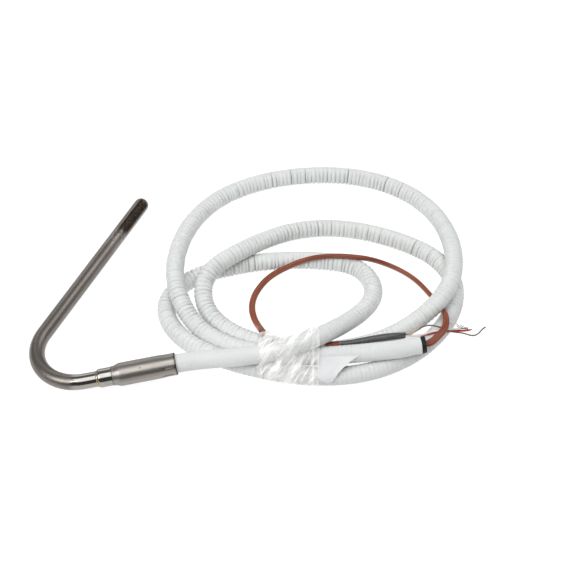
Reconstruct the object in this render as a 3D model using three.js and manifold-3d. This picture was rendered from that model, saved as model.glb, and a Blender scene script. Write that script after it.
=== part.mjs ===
// Bent temperature and flame sensing probe on an armoured lead.
// A closed stainless sheath in the shape of a J holds the sensing element. A
// transition collar and a crimped ferrule join it to a long length of jacketed
// flexible conduit, which lies in loose turns that are wrapped together with
// clear film. The sensor cable runs through the whole conduit, comes out of a
// black end bushing, goes once round inside the turns, and ends in a shrink
// sleeve with three single wires.
// Units are millimetres, +Z is up, and the object lies on the plane z = 0.
// The origin is the bottom centre of the rigid probe: sheath, collar, ferrule.

import * as THREE from "three";
import Module from "manifold-3d";

const wasm = await Module();
wasm.setup();

// ---------------------------------------------------------------- dimensions
const SHEATH_D = 9.5; // outside diameter of the stainless sheath
const SHEATH_WALL = 1.3;
const LEG_LENGTH = 120.6; // from the centre of the round tip to the bend
const BEND_RADIUS = 27.93; // centre line
const BEND_TURN = THREE.MathUtils.degToRad(125);
const LEG_AZIMUTH = THREE.MathUtils.degToRad(-115.22); // direction from the tip to the bend, about +Z from +X
const PLANE_TILT = THREE.MathUtils.degToRad(6); // the bend's plane leans up, because the ferrule's end rides on the conduit
const LEG_TIP = new THREE.Vector3(12.661, 74.453, 4.750); // centre of the round tip
const SIDES = 20; // facets round the rigid turned pieces

// stations along the arm, measured from the end of the bend
const SHEATH_END = 5.7;
const SPIGOT_END = 12.6;
const SPIGOT_R = 4.1;
const BORE_R = 3.45;
const RING_FROM = 6.05;
const RING_TO = 6.75;
const COLLAR_FROM = 7.1;
const COLLAR_TO = 14.25;
const COLLAR_R = 5.1;
const COLLAR_TAIL_TO = 20.5;
const COLLAR_TAIL_R = 4.5;
const FERRULE_FROM = 14.6;
const FERRULE_SHOULDER = 19.9;
const FERRULE_TO = 54.9;
const FERRULE_R = 6.6;
const FERRULE_BORE_R = 5.6;

const CONDUIT_R = 5.2; // outside of the jacket
const JACKET_BORE_R = 4.4;
const ARMOUR_R = 4.05;
const ARMOUR_BORE_R = 3.25;
const CABLE_R = 1.65;
const SHRINK_R = 1.95;
const SHRINK_BORE_R = 1.65;
const RED_R = 0.6;
const WHITE_R = 0.55;
const DRAIN_R = 0.38;
const LEAD_R = 0.42; // element leads and cable conductors in the ferrule
const LEAD_PITCH_R = 1.3; // they sit on this radius round the axis
const FILM_THICKNESS = 0.3;
const LABEL_THICKNESS = 0.3;

// Centre line of the conduit, from inside the ferrule to its cut end.
const CONDUIT_ROUTE = [
  [23.95, -68.22, 12.21],
  [34.25, -66.42, 13.11],
  [45.05, -64.53, 14.05],
  [62.37, -63.21, 16.18],
  [86.59, -64.45, 21.45],
  [105.80, -61.93, 24.05],
  [121.26, -55.85, 23.96],
  [136.44, -45.01, 20.23],
  [153.65, -27.41, 13.35],
  [162.68, -13.43, 9.38],
  [165.21, -1.67, 7.25],
  [162.67, 9.14, 5.96],
  [156.01, 17.58, 5.35],
  [145.02, 22.38, 5.22],
  [122.89, 24.80, 5.22],
  [97.81, 23.82, 5.22],
  [72.02, 18.24, 5.22],
  [53.47, 11.07, 5.22],
  [42.35, 2.09, 5.22],
  [36.36, -8.25, 5.22],
  [35.71, -19.18, 5.25],
  [40.49, -31.04, 5.56],
  [51.00, -43.31, 6.63],
  [68.01, -54.95, 8.58],
  [88.21, -63.46, 9.73],
  [109.72, -67.42, 8.11],
  [135.92, -67.85, 5.71],
  [158.75, -64.30, 5.22],
  [177.82, -56.57, 5.22],
  [194.63, -44.41, 5.22],
  [207.41, -29.28, 5.22],
  [214.79, -13.49, 5.22],
  [216.91, 1.49, 5.22],
  [214.04, 14.77, 5.22],
  [206.30, 26.48, 5.22],
  [192.64, 36.95, 5.22],
  [170.48, 47.04, 5.22],
  [149.05, 52.23, 5.27],
  [131.29, 52.05, 6.19],
  [114.69, 47.05, 8.59],
  [96.45, 35.69, 12.83],
  [77.90, 20.74, 16.24],
  [65.35, 10.75, 15.02],
  [59.26, 1.53, 12.45],
  [58.45, -9.15, 9.69],
  [62.40, -20.31, 7.43],
  [71.64, -30.52, 6.15],
  [87.52, -40.28, 5.95],
  [107.60, -46.93, 6.00],
  [129.18, -48.94, 6.00],
  [152.46, -46.04, 6.43],
  [173.97, -39.68, 9.42],
  [191.85, -30.48, 14.59],
  [203.66, -19.86, 17.85],
  [211.52, -6.73, 18.24],
  [216.10, 10.36, 16.68],
  [216.68, 31.85, 12.96],
  [212.85, 53.26, 8.83],
  [205.49, 69.92, 6.33],
  [194.71, 82.79, 5.32],
  [179.42, 93.00, 5.22],
  [159.93, 99.97, 5.22],
  [137.29, 102.61, 5.22],
  [112.04, 100.48, 5.22],
  [88.75, 93.93, 5.22],
  [70.74, 84.32, 5.23],
  [58.02, 72.34, 5.73],
  [48.71, 56.68, 7.62],
  [42.36, 35.88, 11.33],
  [40.04, 12.79, 15.32],
  [41.42, -4.25, 15.96],
  [46.20, -18.67, 12.97],
  [55.24, -31.65, 9.30],
  [67.88, -41.99, 7.90],
  [85.43, -50.78, 9.59],
  [106.22, -56.16, 12.09],
  [131.49, -57.46, 13.25],
  [157.82, -55.99, 14.42],
  [184.06, -53.95, 16.61],
  [192.48, -52.89, 17.20],
];

// Centre line of the cable inside the conduit.
const CABLE_RUN = [
  [26.40, -67.79, 12.43],
  [34.25, -66.42, 13.11],
  [45.05, -64.53, 14.05],
  [62.37, -63.21, 16.18],
  [86.59, -64.45, 21.45],
  [105.80, -61.93, 24.05],
  [121.26, -55.85, 23.96],
  [136.44, -45.01, 20.23],
  [153.65, -27.41, 13.35],
  [162.68, -13.43, 9.38],
  [165.21, -1.67, 7.25],
  [162.67, 9.14, 5.96],
  [156.01, 17.58, 5.35],
  [145.02, 22.38, 5.22],
  [122.89, 24.80, 5.22],
  [97.81, 23.82, 5.22],
  [72.02, 18.24, 5.22],
  [53.47, 11.07, 5.22],
  [42.35, 2.09, 5.22],
  [36.36, -8.25, 5.22],
  [35.71, -19.18, 5.25],
  [40.49, -31.04, 5.56],
  [51.00, -43.31, 6.63],
  [68.01, -54.95, 8.58],
  [88.21, -63.46, 9.73],
  [109.72, -67.42, 8.11],
  [135.92, -67.85, 5.71],
  [158.75, -64.30, 5.22],
  [177.82, -56.57, 5.22],
  [194.63, -44.41, 5.22],
  [207.41, -29.28, 5.22],
  [214.79, -13.49, 5.22],
  [216.91, 1.49, 5.22],
  [214.04, 14.77, 5.22],
  [206.30, 26.48, 5.22],
  [192.64, 36.95, 5.22],
  [170.48, 47.04, 5.22],
  [149.05, 52.23, 5.27],
  [131.29, 52.05, 6.19],
  [114.69, 47.05, 8.59],
  [96.45, 35.69, 12.83],
  [77.90, 20.74, 16.24],
  [65.35, 10.75, 15.02],
  [59.26, 1.53, 12.45],
  [58.45, -9.15, 9.69],
  [62.40, -20.31, 7.43],
  [71.64, -30.52, 6.15],
  [87.52, -40.28, 5.95],
  [107.60, -46.93, 6.00],
  [129.18, -48.94, 6.00],
  [152.46, -46.04, 6.43],
  [173.97, -39.68, 9.42],
  [191.85, -30.48, 14.59],
  [203.66, -19.86, 17.85],
  [211.52, -6.73, 18.24],
  [216.10, 10.36, 16.68],
  [216.68, 31.85, 12.96],
  [212.85, 53.26, 8.83],
  [205.49, 69.92, 6.33],
  [194.71, 82.79, 5.32],
  [179.42, 93.00, 5.22],
  [159.93, 99.97, 5.22],
  [137.29, 102.61, 5.22],
  [112.04, 100.48, 5.22],
  [88.75, 93.93, 5.22],
  [70.74, 84.32, 5.23],
  [58.02, 72.34, 5.73],
  [48.71, 56.68, 7.62],
  [42.36, 35.88, 11.33],
  [40.04, 12.79, 15.32],
  [41.42, -4.25, 15.96],
  [46.20, -18.67, 12.97],
  [55.24, -31.65, 9.30],
  [67.88, -41.99, 7.90],
  [85.43, -50.78, 9.59],
  [106.22, -56.16, 12.09],
  [131.49, -57.46, 13.25],
  [157.82, -55.99, 14.42],
  [185.55, -53.76, 16.71],
];

// Centre line of the cable's tail, from inside the end bushing to the shrink sleeve.
const CABLE_TAIL = [
  [185.85, -53.73, 16.73],
  [193.03, -52.82, 17.24],
  [197.73, -50.93, 18.01],
  [201.22, -47.26, 17.93],
  [204.60, -42.61, 16.91],
  [207.15, -36.74, 16.06],
  [207.83, -30.67, 15.23],
  [207.44, -24.95, 13.36],
  [206.37, -19.23, 10.22],
  [205.52, -12.72, 6.31],
  [204.08, -6.47, 2.99],
  [200.60, 0.23, 1.88],
  [195.71, 7.71, 1.85],
  [189.78, 14.40, 1.85],
  [182.93, 19.84, 1.85],
  [176.80, 23.16, 2.31],
  [170.99, 24.31, 4.16],
  [165.20, 23.49, 7.45],
  [159.33, 21.76, 11.04],
  [152.70, 21.21, 12.80],
  [144.35, 21.89, 12.86],
  [135.41, 21.87, 12.56],
  [126.55, 20.81, 11.81],
  [117.95, 18.80, 10.16],
  [109.95, 17.13, 6.74],
  [103.51, 15.44, 3.64],
  [98.40, 11.95, 2.14],
  [94.15, 6.31, 1.85],
  [90.57, -0.94, 1.85],
  [88.83, -8.57, 1.85],
  [89.16, -15.97, 1.86],
  [91.00, -22.77, 2.51],
  [93.12, -29.08, 5.29],
  [94.63, -34.92, 9.60],
  [96.40, -39.95, 12.62],
  [100.09, -44.09, 13.63],
  [105.55, -47.21, 13.66],
  [112.86, -49.28, 13.46],
  [121.79, -49.78, 13.53],
  [130.75, -49.77, 13.54],
  [139.69, -49.60, 13.46],
  [142.51, -49.31, 13.50],
];

// Centre line of the shrink sleeve.
const SHRINK_ROUTE = [
  [142.81, -49.28, 13.51],
  [148.59, -48.69, 13.59],
  [157.41, -47.19, 14.04],
  [166.26, -45.93, 14.69],
  [175.06, -44.90, 15.31],
  [182.20, -43.33, 14.22],
];

// Single wires, from inside the shrink sleeve to their free ends.
const RED_ROUTE = [
  [172.59, -45.88, 14.82],
  [175.16, -45.57, 15.01],
  [181.83, -44.11, 13.99],
  [182.90, -43.93, 13.80],
  [186.36, -43.04, 12.95],
  [189.83, -42.10, 12.20],
  [193.33, -41.10, 11.76],
  [196.86, -40.09, 11.60],
  [200.41, -39.16, 11.43],
  [203.92, -38.23, 10.88],
  [207.25, -37.15, 9.79],
  [210.52, -35.97, 8.59],
  [213.87, -34.88, 7.56],
  [217.37, -34.09, 6.81],
  [220.98, -33.54, 6.44],
  [224.60, -32.94, 6.50],
];
const WHITE_ROUTE = [
  [172.23, -44.52, 14.83],
  [174.81, -44.22, 15.01],
  [181.47, -42.76, 13.99],
  [182.52, -42.47, 13.81],
  [185.09, -42.02, 13.71],
  [187.78, -42.36, 14.16],
  [190.79, -42.35, 14.32],
  [194.20, -41.54, 14.17],
  [197.67, -40.31, 13.73],
  [201.09, -39.00, 13.10],
  [204.51, -37.80, 12.28],
  [207.89, -36.71, 11.22],
  [211.26, -35.60, 10.11],
  [214.72, -34.58, 9.21],
  [218.29, -33.79, 8.60],
  [221.93, -33.18, 8.20],
];
const DRAIN_ROUTE = [
  [172.66, -45.14, 15.97],
  [175.24, -44.83, 16.15],
  [181.90, -43.37, 15.13],
  [182.98, -43.14, 15.03],
  [185.84, -42.34, 15.14],
  [188.64, -41.04, 15.78],
  [191.56, -39.34, 16.11],
  [194.61, -37.75, 16.19],
  [197.92, -36.93, 15.81],
  [201.26, -36.96, 15.01],
  [204.52, -37.32, 13.97],
  [207.59, -37.70, 12.46],
  [210.50, -37.49, 10.64],
  [213.35, -36.76, 8.85],
  [216.18, -35.78, 7.15],
  [218.95, -34.80, 5.37],
  [221.72, -34.19, 3.42],
  [224.49, -33.84, 1.90],
  [227.23, -33.23, 1.39],
  [229.55, -32.05, 2.18],
  [231.33, -30.80, 3.79],
  [233.32, -30.12, 5.50],
];

// The film wrap: one outline [y, z] at each x station, round the bundled turns.
const FILM_X = [93.22, 99.26, 105.30, 111.34, 117.38, 123.12, 128.13];
const FILM_RINGS = [
  [[-42.53, 14.16], [-45.04, 16.08], [-47.60, 18.02], [-50.12, 19.93], [-52.67, 21.88], [-55.19, 23.79], [-57.75, 25.73], [-60.29, 27.61], [-63.33, 28.53], [-66.39, 27.89], [-68.79, 25.81], [-69.85, 22.87], [-70.05, 19.67], [-70.24, 16.51], [-70.44, 13.30], [-70.63, 10.15], [-70.19, 7.00], [-68.29, 4.52], [-65.38, 3.24], [-62.26, 2.77], [-59.08, 2.28], [-55.96, 1.80], [-52.79, 1.31], [-49.66, 0.84], [-46.49, 0.35], [-43.36, 0.12], [-40.19, 0.12], [-37.49, 1.66], [-35.89, 4.40], [-35.89, 7.52], [-37.49, 10.27], [-39.97, 12.22]],
  [[-39.91, 14.54], [-42.37, 16.50], [-45.01, 18.34], [-47.60, 20.14], [-50.24, 21.98], [-52.84, 23.79], [-55.48, 25.62], [-58.07, 27.43], [-60.85, 29.03], [-63.97, 29.23], [-66.85, 27.89], [-68.69, 25.35], [-69.38, 22.22], [-69.97, 19.11], [-70.57, 15.95], [-71.15, 12.85], [-71.74, 9.69], [-71.34, 6.59], [-69.42, 4.05], [-66.55, 2.79], [-63.37, 2.35], [-60.23, 1.92], [-57.05, 1.49], [-53.92, 1.06], [-50.73, 0.62], [-47.60, 0.19], [-44.41, 0.12], [-41.33, 0.38], [-38.85, 2.38], [-37.69, 5.28], [-38.10, 8.44], [-38.95, 11.49]],
  [[-44.48, 14.97], [-46.61, 17.23], [-48.83, 19.49], [-51.02, 21.70], [-53.23, 23.96], [-55.42, 26.18], [-57.64, 28.43], [-60.32, 29.94], [-63.45, 30.00], [-66.19, 28.60], [-67.95, 26.01], [-68.84, 23.03], [-69.73, 19.99], [-70.62, 17.01], [-71.51, 13.97], [-72.39, 10.99], [-72.85, 7.88], [-71.80, 4.99], [-69.44, 2.93], [-66.44, 2.19], [-63.30, 1.81], [-60.21, 1.44], [-57.07, 1.07], [-53.98, 0.69], [-50.84, 0.32], [-47.74, 0.12], [-44.60, 0.12], [-41.83, 1.32], [-40.01, 3.86], [-39.69, 6.92], [-40.94, 9.79], [-42.69, 12.36]],
  [[-45.87, 15.02], [-47.59, 17.57], [-49.35, 20.16], [-51.07, 22.71], [-52.82, 25.29], [-54.58, 27.82], [-57.06, 29.67], [-60.06, 30.21], [-63.06, 29.40], [-65.32, 27.36], [-66.70, 24.56], [-67.98, 21.76], [-69.28, 18.91], [-70.56, 16.12], [-71.86, 13.27], [-73.14, 10.47], [-73.64, 7.42], [-72.63, 4.55], [-70.34, 2.48], [-67.38, 1.73], [-64.26, 1.43], [-61.20, 1.13], [-58.09, 0.82], [-55.03, 0.53], [-51.91, 0.22], [-48.85, 0.12], [-45.74, 0.12], [-43.06, 1.43], [-41.37, 4.02], [-41.13, 7.05], [-42.39, 9.88], [-44.11, 12.43]],
  [[-45.45, 14.98], [-46.85, 17.70], [-48.27, 20.47], [-49.67, 23.20], [-51.10, 25.97], [-52.84, 28.46], [-55.55, 29.93], [-58.58, 30.08], [-61.43, 28.89], [-63.40, 26.58], [-64.99, 23.90], [-66.55, 21.27], [-68.14, 18.59], [-69.71, 15.95], [-71.30, 13.28], [-72.86, 10.64], [-73.76, 7.70], [-73.15, 4.73], [-71.16, 2.38], [-68.33, 1.27], [-65.23, 1.04], [-62.17, 0.82], [-59.07, 0.60], [-56.01, 0.38], [-52.91, 0.15], [-49.85, 0.12], [-46.75, 0.12], [-43.97, 1.12], [-42.10, 3.57], [-41.63, 6.56], [-42.62, 9.49], [-44.02, 12.21]],
  [[-44.38, 14.76], [-45.21, 17.71], [-46.05, 20.71], [-46.88, 23.67], [-48.00, 26.56], [-50.26, 28.60], [-53.19, 29.61], [-56.24, 29.56], [-59.13, 28.43], [-61.29, 26.29], [-63.12, 23.76], [-64.92, 21.28], [-66.74, 18.75], [-68.54, 16.26], [-70.37, 13.73], [-72.16, 11.25], [-73.64, 8.52], [-73.70, 5.49], [-72.27, 2.76], [-69.74, 1.06], [-66.67, 0.64], [-63.60, 0.50], [-60.49, 0.36], [-57.42, 0.21], [-54.31, 0.12], [-51.24, 0.12], [-48.13, 0.12], [-45.21, 0.66], [-43.03, 2.84], [-42.16, 5.75], [-42.70, 8.80], [-43.53, 11.76]],
  [[-43.04, 14.16], [-43.20, 17.21], [-43.37, 20.31], [-43.59, 23.35], [-45.03, 26.06], [-47.52, 27.79], [-50.53, 28.47], [-53.54, 28.12], [-56.28, 26.69], [-58.46, 24.56], [-60.64, 22.36], [-62.80, 20.19], [-64.99, 17.99], [-67.14, 15.83], [-69.33, 13.63], [-71.48, 11.47], [-73.37, 9.03], [-73.93, 6.06], [-72.99, 3.14], [-70.80, 1.05], [-67.84, 0.24], [-64.79, 0.17], [-61.69, 0.12], [-58.63, 0.12], [-55.53, 0.12], [-52.48, 0.12], [-49.38, 0.12], [-46.39, 0.30], [-43.96, 2.17], [-42.72, 4.92], [-42.72, 8.02], [-42.88, 11.07]],
];

// The paper label: rows of points from its top edge to its bottom edge.
const LABEL_GRID = [
  [[128.87, -61.88, 17.03], [133.32, -61.87, 17.33], [138.08, -61.71, 17.40], [142.83, -61.56, 17.40], [147.59, -61.48, 17.40], [152.95, -61.47, 17.18]],
  [[128.86, -64.39, 15.45], [132.72, -64.40, 15.56], [136.88, -64.45, 15.62], [141.03, -64.44, 15.61], [145.19, -64.48, 15.56], [149.66, -64.10, 15.45]],
  [[128.91, -66.91, 13.86], [132.41, -67.00, 13.89], [135.97, -67.07, 13.89], [139.53, -67.13, 13.86], [143.10, -67.16, 13.80], [146.37, -66.96, 13.73]],
  [[129.02, -69.42, 12.28], [132.11, -69.53, 12.24], [135.07, -69.65, 12.19], [138.04, -69.76, 12.14], [141.00, -69.78, 12.08], [143.74, -69.44, 12.00]],
  [[129.43, -71.78, 10.69], [131.80, -71.99, 10.58], [134.47, -72.15, 10.51], [136.84, -72.17, 10.43], [139.22, -71.97, 10.36], [141.61, -71.48, 10.28]],
  [[130.63, -73.04, 9.00], [132.70, -73.56, 8.91], [134.48, -73.71, 8.82], [136.26, -73.72, 8.73], [138.05, -73.44, 8.65], [139.73, -72.57, 8.56]],
];

// ----------------------------------------------------------------- materials
const STEEL = new THREE.MeshStandardMaterial({ color: 0x7d7670, roughness: 0.32, metalness: 1 });
const POLISHED = new THREE.MeshStandardMaterial({ color: 0xb9b3a8, roughness: 0.16, metalness: 1 });
const BRAZE = new THREE.MeshStandardMaterial({ color: 0xb9985a, roughness: 0.3, metalness: 1 });
const CERAMIC = new THREE.MeshStandardMaterial({ color: 0xe8e2d4, roughness: 0.7, metalness: 0 });
const CEMENT = new THREE.MeshStandardMaterial({ color: 0xcfc8ba, roughness: 0.9, metalness: 0 });
const FIBRE = new THREE.MeshStandardMaterial({ color: 0xd8d2bd, roughness: 0.9, metalness: 0 });
const LEAD = new THREE.MeshStandardMaterial({ color: 0xc4c0b8, roughness: 0.35, metalness: 1 });
const COPPER = new THREE.MeshStandardMaterial({ color: 0xb8754a, roughness: 0.35, metalness: 1 });
const JACKET = new THREE.MeshStandardMaterial({ color: 0xdfe1df, roughness: 0.5, metalness: 0 });
const ARMOUR = new THREE.MeshStandardMaterial({ color: 0x9aa0a2, roughness: 0.35, metalness: 1 });
const CABLE = new THREE.MeshStandardMaterial({ color: 0x8a4f3b, roughness: 0.35, metalness: 0 });
const BLACK = new THREE.MeshStandardMaterial({ color: 0x141414, roughness: 0.5, metalness: 0 });
const SHRINK = new THREE.MeshStandardMaterial({ color: 0x3a3a3c, roughness: 0.5, metalness: 0 });
const RED = new THREE.MeshStandardMaterial({ color: 0xb02a28, roughness: 0.4, metalness: 0 });
const WHITE = new THREE.MeshStandardMaterial({ color: 0xded2cf, roughness: 0.4, metalness: 0 });
const DRAIN = new THREE.MeshStandardMaterial({ color: 0x77756c, roughness: 0.4, metalness: 0.8 });
const FILM = new THREE.MeshStandardMaterial({ color: 0xe9ebea, roughness: 0.15, metalness: 0, transparent: true, opacity: 0.4 });
const PAPER = new THREE.MeshStandardMaterial({ color: 0xeef1f4, roughness: 0.6, metalness: 0 });

// -------------------------------------------------------------------- shapes
const part = new THREE.Group();

function add(name, geometry, material) {
  const mesh = new THREE.Mesh(geometry, material);
  mesh.name = name;
  part.add(mesh);
  return mesh;
}

// The probe's centre line: a straight leg, a bend, and a straight arm.
const legAlong = new THREE.Vector3(Math.cos(LEG_AZIMUTH), Math.sin(LEG_AZIMUTH), 0);
const legSide = new THREE.Vector3(-Math.sin(LEG_AZIMUTH), Math.cos(LEG_AZIMUTH), 0);
const inward = legSide.clone().multiplyScalar(Math.cos(PLANE_TILT)).add(new THREE.Vector3(0, 0, Math.sin(PLANE_TILT)));
const across = new THREE.Vector3().crossVectors(legAlong, inward);
const bendCentre = LEG_TIP.clone().addScaledVector(legAlong, LEG_LENGTH).addScaledVector(inward, BEND_RADIUS);
const BEND_LENGTH = BEND_RADIUS * BEND_TURN;
const ARM = LEG_LENGTH + BEND_LENGTH; // distance along the centre line at which the arm begins

function probeFrame(s) {
  const theta = THREE.MathUtils.clamp((s - LEG_LENGTH) / BEND_RADIUS, 0, BEND_TURN);
  const tangent = legAlong.clone().multiplyScalar(Math.cos(theta)).addScaledVector(inward, Math.sin(theta));
  const normal = inward.clone().multiplyScalar(Math.cos(theta)).addScaledVector(legAlong, -Math.sin(theta));
  let point;
  if (s <= LEG_LENGTH) point = LEG_TIP.clone().addScaledVector(legAlong, s);
  else {
    point = bendCentre.clone().addScaledVector(normal, -BEND_RADIUS);
    if (s > ARM) point.addScaledVector(tangent, s - ARM);
  }
  return { point, tangent, normal };
}

// One facet of every turned piece faces straight down on the leg, so the leg rests on a flat.
const downInward = -inward.z;
const downAcross = -across.z;
const FACET_ANGLE = Math.atan2(downAcross, downInward);

// A turned piece whose axis follows the probe's centre line. The profile is a list
// of [radius to the flats, distance along the centre line].
function turned(profile, sides = SIDES) {
  const grow = 1 / Math.cos(Math.PI / sides);
  const points = profile.map(([r, s]) => new THREE.Vector2(r * grow, s));
  const geometry = new THREE.LatheGeometry(points, sides);
  const position = geometry.getAttribute("position");
  for (let i = 0; i <= sides; i++) {
    const angle = FACET_ANGLE - Math.PI / sides + (2 * Math.PI * (i % sides)) / sides;
    for (let j = 0; j < points.length; j++) {
      const { point, normal } = probeFrame(points[j].y);
      point.addScaledVector(normal, points[j].x * Math.cos(angle)).addScaledVector(across, points[j].x * Math.sin(angle));
      position.setXYZ(i * points.length + j, point.x, point.y, point.z);
    }
  }
  return geometry;
}

// A ring of stations along the probe, from s0 to s1, fine in the bend.
function stations(s0, s1) {
  const list = [s0];
  const count = 10;
  for (let k = 0; k <= count; k++) {
    const s = LEG_LENGTH + (BEND_LENGTH * k) / count;
    if (s > s0 + 0.5 && s < s1 - 0.5) list.push(s);
  }
  list.push(s1);
  return list;
}

// A tube follows its centre line from point to point, mitred at each.
class Route extends THREE.Curve {
  constructor(points) {
    super();
    this.points = points;
  }
  getPoint(t, target = new THREE.Vector3()) {
    const n = this.points.length - 1;
    const i = Math.min(Math.floor(t * n + 1e-9), n - 1);
    return target.lerpVectors(this.points[i], this.points[i + 1], t * n - i);
  }
  getPointAt(u, target) {
    return this.getPoint(u, target);
  }
  getTangentAt(u, target = new THREE.Vector3()) {
    const n = this.points.length - 1;
    const i = Math.round(u * n);
    const before = this.points[Math.max(i - 1, 0)];
    const here = this.points[i];
    const after = this.points[Math.min(i + 1, n)];
    const a = new THREE.Vector3().subVectors(here, before).normalize();
    const b = new THREE.Vector3().subVectors(after, here).normalize();
    return target.addVectors(a, b).normalize();
  }
}

const vectors = (list) => list.map(([x, y, z]) => new THREE.Vector3(x, y, z));

function polygon(path, radius, sides) {
  for (let k = 0; k < sides; k++) {
    const a = (2 * Math.PI * k) / sides;
    if (k === 0) path.moveTo(radius * Math.cos(a), radius * Math.sin(a));
    else path.lineTo(radius * Math.cos(a), radius * Math.sin(a));
  }
  path.closePath();
  return path;
}

function tube(points, radius, bore = 0, sides = 8) {
  const section = polygon(new THREE.Shape(), radius, sides);
  if (bore > 0) section.holes.push(polygon(new THREE.Path(), bore, sides));
  return new THREE.ExtrudeGeometry(section, { steps: points.length - 1, extrudePath: new Route(points), bevelEnabled: false });
}

// A straight turned piece on the axis from point, along direction.
function turnedAt(profile, origin, direction, sides) {
  const grow = 1 / Math.cos(Math.PI / sides);
  const geometry = new THREE.LatheGeometry(profile.map(([r, s]) => new THREE.Vector2(r * grow, s)), sides);
  const turn = new THREE.Quaternion().setFromUnitVectors(new THREE.Vector3(0, 1, 0), direction);
  return geometry.applyQuaternion(turn).translate(origin.x, origin.y, origin.z);
}

// -------------------------------------------------------------- rigid probe
const R = SHEATH_D / 2;
const ROUND = 5; // steps over a quarter of the round tip
{
  const outer = [];
  for (let k = 0; k <= ROUND; k++) {
    const a = (Math.PI / 2) * (k / ROUND);
    outer.push([R * Math.sin(a), -R * Math.cos(a)]);
  }
  for (const s of stations(2, ARM + SHEATH_END)) outer.push([R, s]);
  outer.push([SPIGOT_R + 0.35, ARM + SHEATH_END], [SPIGOT_R, ARM + SHEATH_END + 0.35], [SPIGOT_R, ARM + SPIGOT_END]);
  const r = R - SHEATH_WALL;
  const inner = [[r, ARM + SPIGOT_END], ...stations(2, ARM + SHEATH_END).reverse().map((s) => [r, s])];
  for (let k = ROUND; k >= 0; k--) {
    const a = (Math.PI / 2) * (k / ROUND);
    inner.push([r * Math.sin(a), -r * Math.cos(a)]);
  }
  add("sheath_tube", turned([...outer, ...inner]), STEEL);
}

// Sensing element in the tip, held in cement.
add("sensing_element", turned([[0, -2.6], [1.2, -2.4], [1.6, -1.6], [1.6, 22], [0, 22]], 12), CERAMIC);
add("tip_packing", turned([[1.95, 1.5], [3.0, 1.5], [3.0, 19], [1.95, 19], [1.95, 1.5]], 12), CEMENT);

// Three element leads run from the element, round the bend, to the splices.
function leadLine(s0, s1, k) {
  const a = (2 * Math.PI * k) / 3 + 0.3;
  return stations(s0, s1).map((s) => {
    const { point, normal } = probeFrame(s);
    return point.addScaledVector(normal, LEAD_PITCH_R * Math.cos(a)).addScaledVector(across, LEAD_PITCH_R * Math.sin(a));
  });
}
const SPLICE_FROM = ARM + 26.2;
const SPLICE_TO = ARM + 30.6;
["a", "b", "c"].forEach((letter, k) => {
  add(`element_lead_${letter}`, tube(leadLine(22.4, ARM + 28.2, k), LEAD_R), LEAD);
  add(`conductor_${letter}`, tube(leadLine(ARM + 28.6, ARM + 35.7, k), LEAD_R), COPPER);
  const a = (2 * Math.PI * k) / 3 + 0.3;
  const { point, tangent, normal } = probeFrame(SPLICE_FROM);
  point.addScaledVector(normal, LEAD_PITCH_R * Math.cos(a)).addScaledVector(across, LEAD_PITCH_R * Math.sin(a));
  const length = SPLICE_TO - SPLICE_FROM;
  add(`splice_${letter}`, turnedAt([[0.66, 0], [0.92, 0], [0.92, length], [0.66, length], [0.66, 0]], point, tangent, 10), COPPER);
});
{
  const run = stations(24, ARM + 9);
  add("lead_sleeve", turned([...run.map((s) => [2.75, s]), ...run.reverse().map((s) => [2.25, s]), [2.75, 24]], 12), FIBRE);
}

// Braze fillet, collar, ferrule and the filling behind the collar.
add("braze_ring", turned([[4.42, ARM + RING_FROM], [4.84, ARM + RING_FROM + 0.1], [4.9, ARM + 6.4], [4.84, ARM + RING_TO - 0.1], [4.42, ARM + RING_TO], [4.42, ARM + RING_FROM]]), BRAZE);
add(
  "transition_collar",
  turned([
    [4.45, ARM + COLLAR_FROM],
    [4.7, ARM + COLLAR_FROM],
    [COLLAR_R, ARM + COLLAR_FROM + 0.8],
    [COLLAR_R, ARM + COLLAR_TO],
    [COLLAR_TAIL_R, ARM + COLLAR_TO],
    [COLLAR_TAIL_R, ARM + COLLAR_TAIL_TO],
    [BORE_R, ARM + COLLAR_TAIL_TO],
    [BORE_R, ARM + SPIGOT_END + 0.4],
    [4.45, ARM + SPIGOT_END + 0.4],
    [4.45, ARM + COLLAR_FROM],
  ]),
  POLISHED,
);
add(
  "ferrule",
  turned([
    [4.85, ARM + FERRULE_FROM],
    [5.3, ARM + FERRULE_FROM],
    [5.55, ARM + FERRULE_FROM + 1.4],
    [6.25, ARM + FERRULE_SHOULDER - 1.2],
    [FERRULE_R, ARM + FERRULE_SHOULDER],
    [FERRULE_R, ARM + FERRULE_TO - 0.5],
    [FERRULE_R - 0.3, ARM + FERRULE_TO],
    [FERRULE_BORE_R, ARM + FERRULE_TO],
    [FERRULE_BORE_R, ARM + 21],
    [4.85, ARM + 21],
    [4.85, ARM + FERRULE_FROM],
  ]),
  STEEL,
);
add("potting_plug", turned([[2.3, ARM + 21.6], [5.2, ARM + 21.6], [5.2, ARM + 25.4], [2.3, ARM + 25.4], [2.3, ARM + 21.6]]), CEMENT);
add(
  "anti_short_bush",
  turned([[2.15, ARM + 32.5], [5.0, ARM + 32.5], [5.0, ARM + 33.15], [2.85, ARM + 33.15], [2.85, ARM + 37.5], [2.15, ARM + 37.5], [2.15, ARM + 32.5]], 16),
  BLACK,
);

// ------------------------------------------------------- conduit and cable
const conduit = vectors(CONDUIT_ROUTE);
add("conduit_jacket", tube(conduit, CONDUIT_R, JACKET_BORE_R), JACKET);
add("conduit_armour", tube(conduit, ARMOUR_R, ARMOUR_BORE_R), ARMOUR);
add("sensor_cable_run", tube(vectors(CABLE_RUN), CABLE_R), CABLE);

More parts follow.
